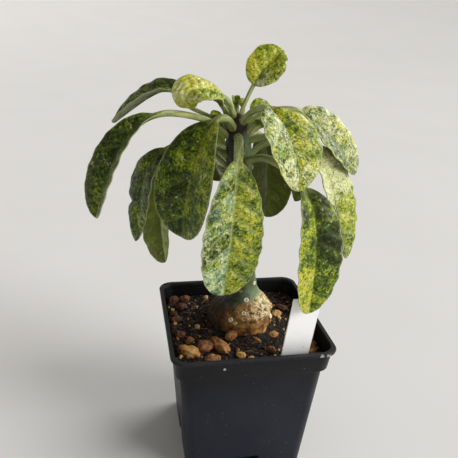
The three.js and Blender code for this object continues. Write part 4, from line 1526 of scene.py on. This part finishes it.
@dataclass
class PottingMix:
    """Dark gritty mix with pumice pebbles, bark chips and peat fibres on its surface."""

    top: float = 78.0
    mound: float = 4.0
    mound_reach: float = 34.0
    caudex_radius: float = 18.6
    bottom: float = 1.9
    gap: float = 0.3
    notch_top: float = 16.0
    notch_inset: float = 9.2
    rings: int = 84
    shoulder_top: float = 73.0
    shoulder_drop: float = 1.2
    plant_y: float = 4.0
    corner_steps: int = 8
    edge_steps: int = 24
    # Each pebble's x, y, half length, half width, turn and tint; the tint is lower along the left
    # and back walls, as painted shade
    pebbles: tuple = (
        (-33.7, -22.4, 7.0, 4.6, -35, 0.45), (-24.5, -19.8, 5.6, 4.6, 20, 0.1),
        (-15.4, -20.2, 8.2, 3.7, 110, 0.4), (-8.4, -14.6, 4.4, 3.2, 60, 0.35),
        (-21.5, -30.0, 4.6, 2.9, 5, 0.3), (-5.4, -28.6, 2.7, 2.3, -20, 0.6),
        (-0.3, -31.2, 1.9, 1.4, 0, 0.5), (6.1, -17.9, 3.3, 1.3, 120, 0.45),
        (11.7, -10.2, 3.6, 1.3, 70, 0.5), (16.7, -13.4, 2.9, 2.4, 0, 0.45),
        (12.2, -25.9, 3.2, 2.4, -30, 0.1), (24.2, 7.4, 3.2, 2.9, 0, 0.7),
        (30.9, 17.1, 4.4, 2.6, -40, -0.25), (37.4, -22.6, 2.9, 2.4, 0, 0.25),
        (35.6, -29.2, 2.7, 2.1, 15, 0.4), (28.5, -12.6, 2.1, 1.6, 0, 0.2),
        (-36.3, 35.2, 4.2, 3.1, 40, -0.2), (-28.9, 35.8, 3.8, 2.8, 10, 0.1),
        (-32.0, 25.2, 4.0, 3.1, 20, -0.25), (-37.4, 19.0, 2.6, 2.1, 0, -0.1),
        (-36.6, 11.6, 3.3, 2.6, 10, 0.0), (-36.6, -4.8, 3.7, 2.9, -10, -0.3),
        (-31.4, -12.1, 2.9, 2.4, 30, 0.2), (22.0, 33.0, 2.3, 1.7, 30, -0.1),
    )

    def height(self, x: float, y: float) -> float:
        """Gives the surface's height: level, with lumps and a low mound up to the caudex.

        Args:
            x: place across, in millimetres.
            y: place from front to back, in millimetres.

        Returns:
            The height, in millimetres.
        """
        distance = math.hypot(x, y - self.plant_y)
        part = (self.mound_reach - distance) / (self.mound_reach - self.caudex_radius)
        lumps = noise.fractal(Vector((x, y, 3)) * 0.22, 0.6, 2.0, 4) * 0.9
        return self.top + self.mound * min(1.0, max(0.0, part)) + lumps - 0.3

    def surface(self, side: float, low: float, high: float) -> np.ndarray:
        """Rings of surface points inside a rounded square.

        Args:
            side: side of the square.
            low: the innermost ring's size as a share of the square's.
            high: the outermost ring's.

        Returns:
            The rings, from the outermost in.
        """
        edge = rounded_square(side, 0, self.corner_steps, self.edge_steps)
        rings = []
        for share in np.linspace(high, low, self.rings):
            ring = edge * share
            ring[:, 2] = [self.height(x, y) for x, y, _ in ring]
            rings.append(ring)
        return np.array(rings)

    def build(self, pot: "Pot", finish: SpeckledFinish) -> Object:
        """Builds the body of the mix, level at the bottom and rough on top.

        Args:
            pot: the pot that holds it.
            finish: the damp mix.

        Returns:
            The body.
        """
        levels = [(self.bottom, self.notch_inset), (self.notch_top, self.notch_inset),
                  (self.notch_top + 1, self.gap), (self.shoulder_top, self.gap),
                  (self.top - self.shoulder_drop, self.gap)]
        walls = [rounded_square(pot.inner_side(height) - 2 * inset, height, self.corner_steps,
                                self.edge_steps) for height, inset in levels]
        side = pot.inner_side(self.top) - 2 * self.gap
        rings = np.concatenate([np.array(walls), self.surface(side, 0.02, 1.0)])
        piece = new_piece("mix_body", loft_points(rings), loft_faces(len(rings), rings.shape[1]),
                          finish.material())
        store(piece, "tint", np.full(len(piece.data.vertices), 0.4))
        settle(piece, "grit_mix", "potting_mix")
        return piece

    def carrier(self, pot: "Pot", name: str, clear: float,
                material: Material) -> Object:
        """Makes the part of the surface that bears loose grains: a ring round the caudex.

        Args:
            pot: the pot that holds the mix.
            name: name of the carrier.
            clear: how far it keeps from the wall.
            material: the grains' finish.

        Returns:
            The surface as an open mesh.
        """
        rings = self.surface(pot.inner_side(self.top) - 2 * clear, 0.4, 1.0)
        return new_piece(name, rings.reshape(-1, 3), band_faces(*rings.shape[:2]), material)

    def build_pebbles(self, finish: SpeckledFinish) -> None:
        """Builds the large pumice pebbles, each where it lies on the mix.

        Args:
            finish: the pumice.
        """
        material = finish.material()
        joined = bmesh.new()
        tints = []
        for index, (x, y, length, width, turn, tint) in enumerate(self.pebbles):
            rock = make_rock(f"pebble_{index}", 4, index + 3, 0.27, material)
            size = Matrix.Diagonal((length, width, width * 0.85, 1))
            place = Matrix.Translation((x, y, self.height(x, y) + width * 0.32))
            tipped = Matrix.Rotation(0.2 * (index % 3 - 1), 4, "X")
            turned = Matrix.Rotation(math.radians(turn), 4, "Z") @ tipped
            rock.data.transform(Matrix.Scale(MM, 4) @ place @ turned @ size)
            joined.from_mesh(rock.data)
            tints += [tint] * len(rock.data.vertices)
            bpy.data.objects.remove(rock)
        piece = from_bmesh("large_pebbles", joined, material)
        store(piece, "tint", np.array(tints))
        settle(piece, "grit_mix")

    def strew(self, pot: "Pot") -> None:
        """Strews small pebbles, bark chips, crumbs and fibres over the surface.

        Args:
            pot: the pot that holds the mix.
        """
        pumice, bark, fibre = GRAVEL_PUMICE.material(), BARK_CHIPS.material(), PEAT_FIBRE.material()
        # Each layer: its scatter, one grain of it, and how far it keeps from the wall
        layers = (
            (Scatter("small_pebbles", 15.0, 0.9, 1.9, 1.6, 21),
             make_rock("pebble", 3, 31, 0.32, pumice), 3.2),
            (Scatter("gravel", 6.2, 0.4, 0.95, 1.6, 5),
             make_rock("gravel_grain", 2, 12, 0.3, pumice), 1.6),
            (Scatter("bark_chips", 3.1, 0.9, 2.3, 0.5, 8), self.chip(bark), 2.6),
            (Scatter("mix_crumbs", 1.35, 0.35, 0.85, 1.6, 3), make_rock("crumb", 1, 5, 0.4, bark), 1.0),
            (Scatter("peat_fibres", 6.4, 1.6, 3.4, 0.35, 14), self.fibre(fibre), 4.0),
        )
        for scatter, grain, clear in layers:
            bed = self.carrier(pot, f"{scatter.name}_bed", clear, grain.data.materials[0])
            settle(scatter.lay(bed, grain), "grit_mix")

    def chip(self, material: Material) -> Object:
        """Makes a flat bark chip of half length 1.

        Args:
            material: the chip's finish.

        Returns:
            The chip.
        """
        chip = make_rock("chip", 2, 44, 0.3, material)
        chip.data.transform(Matrix.Diagonal((1.0, 0.6, 0.26, 1)))
        return chip

    def fibre(self, material: Material) -> Object:
        """Makes a thin bent fibre of half length 1.

        Args:
            material: the fibre's finish.

        Returns:
            The fibre.
        """
        sides, count, thick = 3, 7, 0.07
        angles = np.linspace(0, 2 * math.pi, sides, endpoint=False)
        edge = thick * np.stack([np.zeros(sides), np.cos(angles), np.sin(angles)], axis=-1)
        rings = [np.array([part, 0.25 * math.sin(2.2 * part), 0.16 * math.cos(2.6 * part)]) + edge
                 for part in np.linspace(-1, 1, count)]
        return new_piece("fibre", loft_points(np.array(rings)) / MM, loft_faces(count, sides), material)


# Pot and label


@dataclass
class Pot:
    """Square tapered pot with a stepped collar, a rolled rim and drainage notches."""

    corner_share: ClassVar[float] = 0.09
    corner_steps: int = 12
    # Height and side at each corner of the profile, outside and inside
    outer: tuple = ((0, 66.8), (1, 67.9), (73.2, 79.8), (74, 84.2), (84.6, 86.6), (85, 89.4), (86.4, 90),
                    (87, 89.2))
    inner: tuple = ((1.6, 65.2), (73.4, 77.2), (75.2, 81.8), (85.4, 84.4), (87, 85.4))
    # The cutter for the inside goes on past the rim
    inner_past: tuple = (88, 85.6)
    wall: float = 1.3
    notch_width: float = 15.0
    notch_height: float = 12.0
    notch_depth: float = 7.0
    slot_width: float = 8.0
    slot_height: float = 4.0
    slot_middle: float = 6.0
    hole_radius: float = 3.5
    hole_offset: float = 20.0
    soft_edge: float = 0.35
    sharp_edge: float = 40.0

    def inner_side(self, height: float) -> float:
        """Side of the pot's inside at a height."""
        table = np.array(self.inner)
        return float(np.interp(height, table[:, 0], table[:, 1]))

    def softened(self, table: tuple) -> list:
        """Rounds off each corner of a profile.

        Args:
            table: height and side at each corner.

        Returns:
            Height and side of more points, along the rounded profile.
        """
        corners = [np.array([height, side / 2]) for height, side in table]
        points = [corners[0]]
        for before, corner, after in zip(corners, corners[1:], corners[2:]):
            back, forth = before - corner, after - corner
            cut = min(self.soft_edge, 0.4 * np.linalg.norm(back), 0.4 * np.linalg.norm(forth))
            start = corner + back / np.linalg.norm(back) * cut
            end = corner + forth / np.linalg.norm(forth) * cut
            points += [start, (start + 2 * corner + end) / 4, end]
        points.append(corners[-1])
        return [(height, 2 * half) for height, half in points]

    def block(self, name: str, table: tuple, material: Material) -> Object:
        """Makes a closed body from a profile, as a cutter or a blank.

        Args:
            name: the body's name.
            table: height and side at each corner of the profile.
            material: the pot's plastic.

        Returns:
            The body.
        """
        rings = np.array([rounded_square(side, height, self.corner_steps)
                          for height, side in self.softened(table)])
        return new_piece(name, loft_points(rings), loft_faces(len(rings), rings.shape[1]), material)

    def notch_blocks(self, grow: float) -> Object:
        """Makes the four drainage notches as one cutter.

        Args:
            grow: margin by which they are grown.

        Returns:
            The cutter.
        """
        outside, below = 6.0, 1.0
        foot = self.outer[0][1] / 2
        shape = bmesh.new()
        low = Vector((-self.notch_width / 2 - grow, -foot - outside, -below))
        high = Vector((self.notch_width / 2 + grow, -foot + self.notch_depth + grow,
                       self.notch_height + grow))
        for side in range(4):
            place = Matrix.Translation((low + high) / 2) @ Matrix.Diagonal((*(high - low), 1))
            bmesh.ops.create_cube(shape, size=1, matrix=Matrix.Rotation(side * math.pi / 2, 4, "Z") @ place)
        return self.cutter("notches", shape)

    def drain_blocks(self) -> Object:
        """Makes the slots over the notches and the holes in the floor as one cutter.

        Returns:
            The cutter.
        """
        shape = bmesh.new()
        slot_y = -self.outer[0][1] / 2 + self.notch_depth + self.wall / 2
        slot = Matrix.Translation((0, slot_y, self.slot_middle)) @ Matrix.Diagonal(
            (self.slot_width, 4 * self.wall, self.slot_height, 1))
        for side in range(4):
            turn = Matrix.Rotation(side * math.pi / 2, 4, "Z")
            bmesh.ops.create_cube(shape, size=1, matrix=turn @ slot)
            hole = turn @ Matrix.Translation((self.hole_offset, self.hole_offset, 0))
            bmesh.ops.create_cone(shape, cap_ends=True, segments=24, radius1=self.hole_radius,
                                  radius2=self.hole_radius, depth=6 * self.wall, matrix=hole)
        return self.cutter("drains", shape)

    def cutter(self, name: str, shape: bmesh.types.BMesh) -> Object:
        """Turns a bmesh in millimetres into a cutter in metres."""
        bmesh.ops.scale(shape, vec=(MM, MM, MM), verts=shape.verts)
        return from_bmesh(name, shape)

    def cut(self, blank: Object, name: str, *cutters: Object) -> Object:
        """Cuts blocks out of a blank.

        Args:
            blank: the blank, used up by this.
            name: the result's name.
            cutters: the blocks, used up by this.

        Returns:
            The result as a plain mesh.
        """
        for cutter in cutters:
            modifier = blank.modifiers.new(cutter.name, "BOOLEAN")
            modifier.operation = "DIFFERENCE"
            modifier.solver = "EXACT"
            modifier.object = cutter
        piece = baked_copy(blank, name)
        for cutter in cutters:
            bpy.data.objects.remove(cutter)
        return piece

    def build(self, finish: PotFinish) -> Object:
        """Builds the pot.

        Args:
            finish: its plastic.

        Returns:
            The pot.
        """
        material = finish.material()
        inside = self.block("cavity_blank", (*self.inner, self.inner_past), material)
        cavity = self.cut(inside, "cavity", self.notch_blocks(self.wall))
        pot = self.cut(self.block("pot_blank", self.outer, material), "pot_shell", cavity,
                       self.notch_blocks(0), self.drain_blocks())
        pot.data.polygons.foreach_set("use_smooth", [True] * len(pot.data.polygons))
        pot.data.set_sharp_from_angle(angle=math.radians(self.sharp_edge))
        settle(pot, "pot_plastic", "pot")
        return pot


@dataclass
class PlantLabel:
    """Blank strip of sheet plastic with a pointed foot."""

    width: float = 15.3
    thickness: float = 0.9
    length: float = 63.5
    point: float = 8.0
    place: tuple = (20.0, -34.4, 54.0)
    lean: float = 4.8
    tilt: float = 3.6
    edge: float = 0.12

    def build(self, finish: LabelFinish) -> Object:
        """Builds the label.

        Args:
            finish: its plastic.

        Returns:
            The label.
        """
        half = self.width / 2
        outline = [(0, 0), (half, self.point), (half, self.length), (-half, self.length), (-half, self.point)]
        shape = bmesh.new()
        corners = [shape.verts.new((x, -self.thickness / 2, z)) for x, z in outline]
        front = shape.faces.new(corners)
        grown = bmesh.ops.extrude_face_region(shape, geom=[front])
        moved = [item for item in grown["geom"] if isinstance(item, bmesh.types.BMVert)]
        bmesh.ops.translate(shape, vec=(0, self.thickness, 0), verts=moved)
        bmesh.ops.recalc_face_normals(shape, faces=shape.faces)
        bmesh.ops.bevel(shape, geom=shape.edges[:], offset=self.edge, segments=2, affect="EDGES")
        lean, tilt = (Matrix.Rotation(math.radians(angle), 4, axis)
                      for angle, axis in ((self.lean, "Y"), (self.tilt, "X")))
        shape.transform(Matrix.Scale(MM, 4) @ Matrix.Translation(self.place) @ (lean @ tilt))
        piece = from_bmesh("label_sheet", shape, finish.material())
        settle(piece, "label_plastic", "plant_label")
        return piece


# Studio


@dataclass
class Studio:
    """Pale floor, soft light from the right and the camera at the photo's angle."""

    eye: tuple = (-67.43, -270.60, 254.31)
    right: tuple = (0.98076, -0.18921, 0.04799)
    forward: tuple = (0.19320, 0.90583, -0.37703)
    focal_pixels: float = 544.92
    picture_pixels: float = 458.0
    sensor_mm: float = 36.0
    # Where each window's light comes from, and how strong it is
    windows: tuple = (((0.80, -0.55, 0.42), 3.0), ((0.80, 0.40, 0.50), 1.7))
    window_width: float = 40.0
    window_colour: str = "#fffdfa"
    floor_colour: str = "#e8e8e9"
    floor_cloud: str = "#e3e3e3"
    # The floor is level as far as this, and then rises by so many degrees
    floor_level: float = 1400.0
    floor_reach: float = 12000.0
    floor_rise: float = 12.0
    air_colour: str = "#f0ebe2"
    air_strength: float = 0.3

    def set_up(self) -> None:
        """Adds the floor, the lights, the air's glow and the camera."""
        self.add_camera()
        self.add_floor()
        self.add_windows()
        world = bpy.data.worlds.new("studio_air")
        world.use_nodes = True
        glow = world.node_tree.nodes["Background"]
        glow.inputs["Color"].default_value = to_linear(self.air_colour)
        glow.inputs["Strength"].default_value = self.air_strength
        bpy.context.scene.world = world
        bpy.context.scene.view_settings.view_transform = "Standard"

    def add_camera(self) -> None:
        """Sets the camera where the photo was taken from, with the photo's lens."""
        camera = bpy.data.cameras.new("camera")
        camera.sensor_width = self.sensor_mm
        camera.lens = self.focal_pixels / self.picture_pixels * self.sensor_mm
        camera.clip_start = 0.01
        holder = new_object("camera", camera)
        right, forward = Vector(self.right), Vector(self.forward)
        up = right.cross(forward)
        turn = Matrix((right, up, -forward)).transposed().to_4x4()
        holder.matrix_world = Matrix.Translation(Vector(self.eye) * MM) @ turn
        bpy.context.scene.camera = holder

    def add_windows(self) -> None:
        """Adds the soft light of two wide windows on the right, far enough away to be even."""
        for number, (source, strength) in enumerate(self.windows):
            lamp = bpy.data.lights.new(f"window_{number}", "SUN")
            lamp.energy = strength
            lamp.angle = math.radians(self.window_width)
            lamp.color = to_linear(self.window_colour)[:3]
            holder = new_object(lamp.name, lamp)
            holder.matrix_world = Vector(source).to_track_quat("Z", "Y").to_matrix().to_4x4()

    def add_floor(self) -> None:
        """Adds a level floor that rises gently far out, so that it fills the view."""
        material, tree, shader = new_material("matt_floor_paint")
        here = add_node(tree, "ShaderNodeTexCoord")
        # Matt paint, a little uneven in clouds about 170 mm wide
        cloud = add_node(tree, "ShaderNodeTexNoise", inputs={"Vector": here.outputs["Object"], "Scale": 6.0})
        tone = add_node(tree, "ShaderNodeMix", COLOUR_MIX,
                        {MIX_FACTOR: cloud, MIX_A: to_linear(self.floor_colour),
                         MIX_B: to_linear(self.floor_cloud)})
        set_inputs(tree, shader, {"Base Color": tone.outputs[MIX_COLOUR], "Roughness": 0.7})
        sides, slope = 96, math.tan(math.radians(self.floor_rise))
        angles = np.linspace(0, 2 * math.pi, sides, endpoint=False)
        profile = [(1.0, 0.0), (self.floor_level, 0.0)]
        for part in np.linspace(0, 1, 12)[1:]:
            out = self.floor_level + (self.floor_reach - self.floor_level) * part
            profile.append((out, (out - self.floor_level) * slope * min(1.0, part * 4)))
        rings = np.array([np.stack([r * np.cos(angles), r * np.sin(angles), np.full(sides, z)], axis=-1)
                          for r, z in profile])
        floor = new_piece("studio_floor", loft_points(rings), band_faces(len(rings), sides), material)
        floor.data.flip_normals()


def main() -> None:
    """Builds the studio and each part of the plant."""
    logging.basicConfig(level=logging.INFO, format="%(name)s %(message)s")
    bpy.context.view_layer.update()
    Studio().set_up()
    pot, stem, mix = Pot(), Stem(), PottingMix()
    pot.build(PotFinish())
    mix.build(pot, DAMP_PEAT)
    mix.build_pebbles(PEBBLE_PUMICE)
    mix.strew(pot)
    stem.build(BarkFinish())
    stem.build_scars(LEAVES, LEAF_SCAR)
    for leaf in LEAVES:
        leaf.build(stem)
    PlantLabel().build(LabelFinish())


if __name__ == "__main__":
    main()
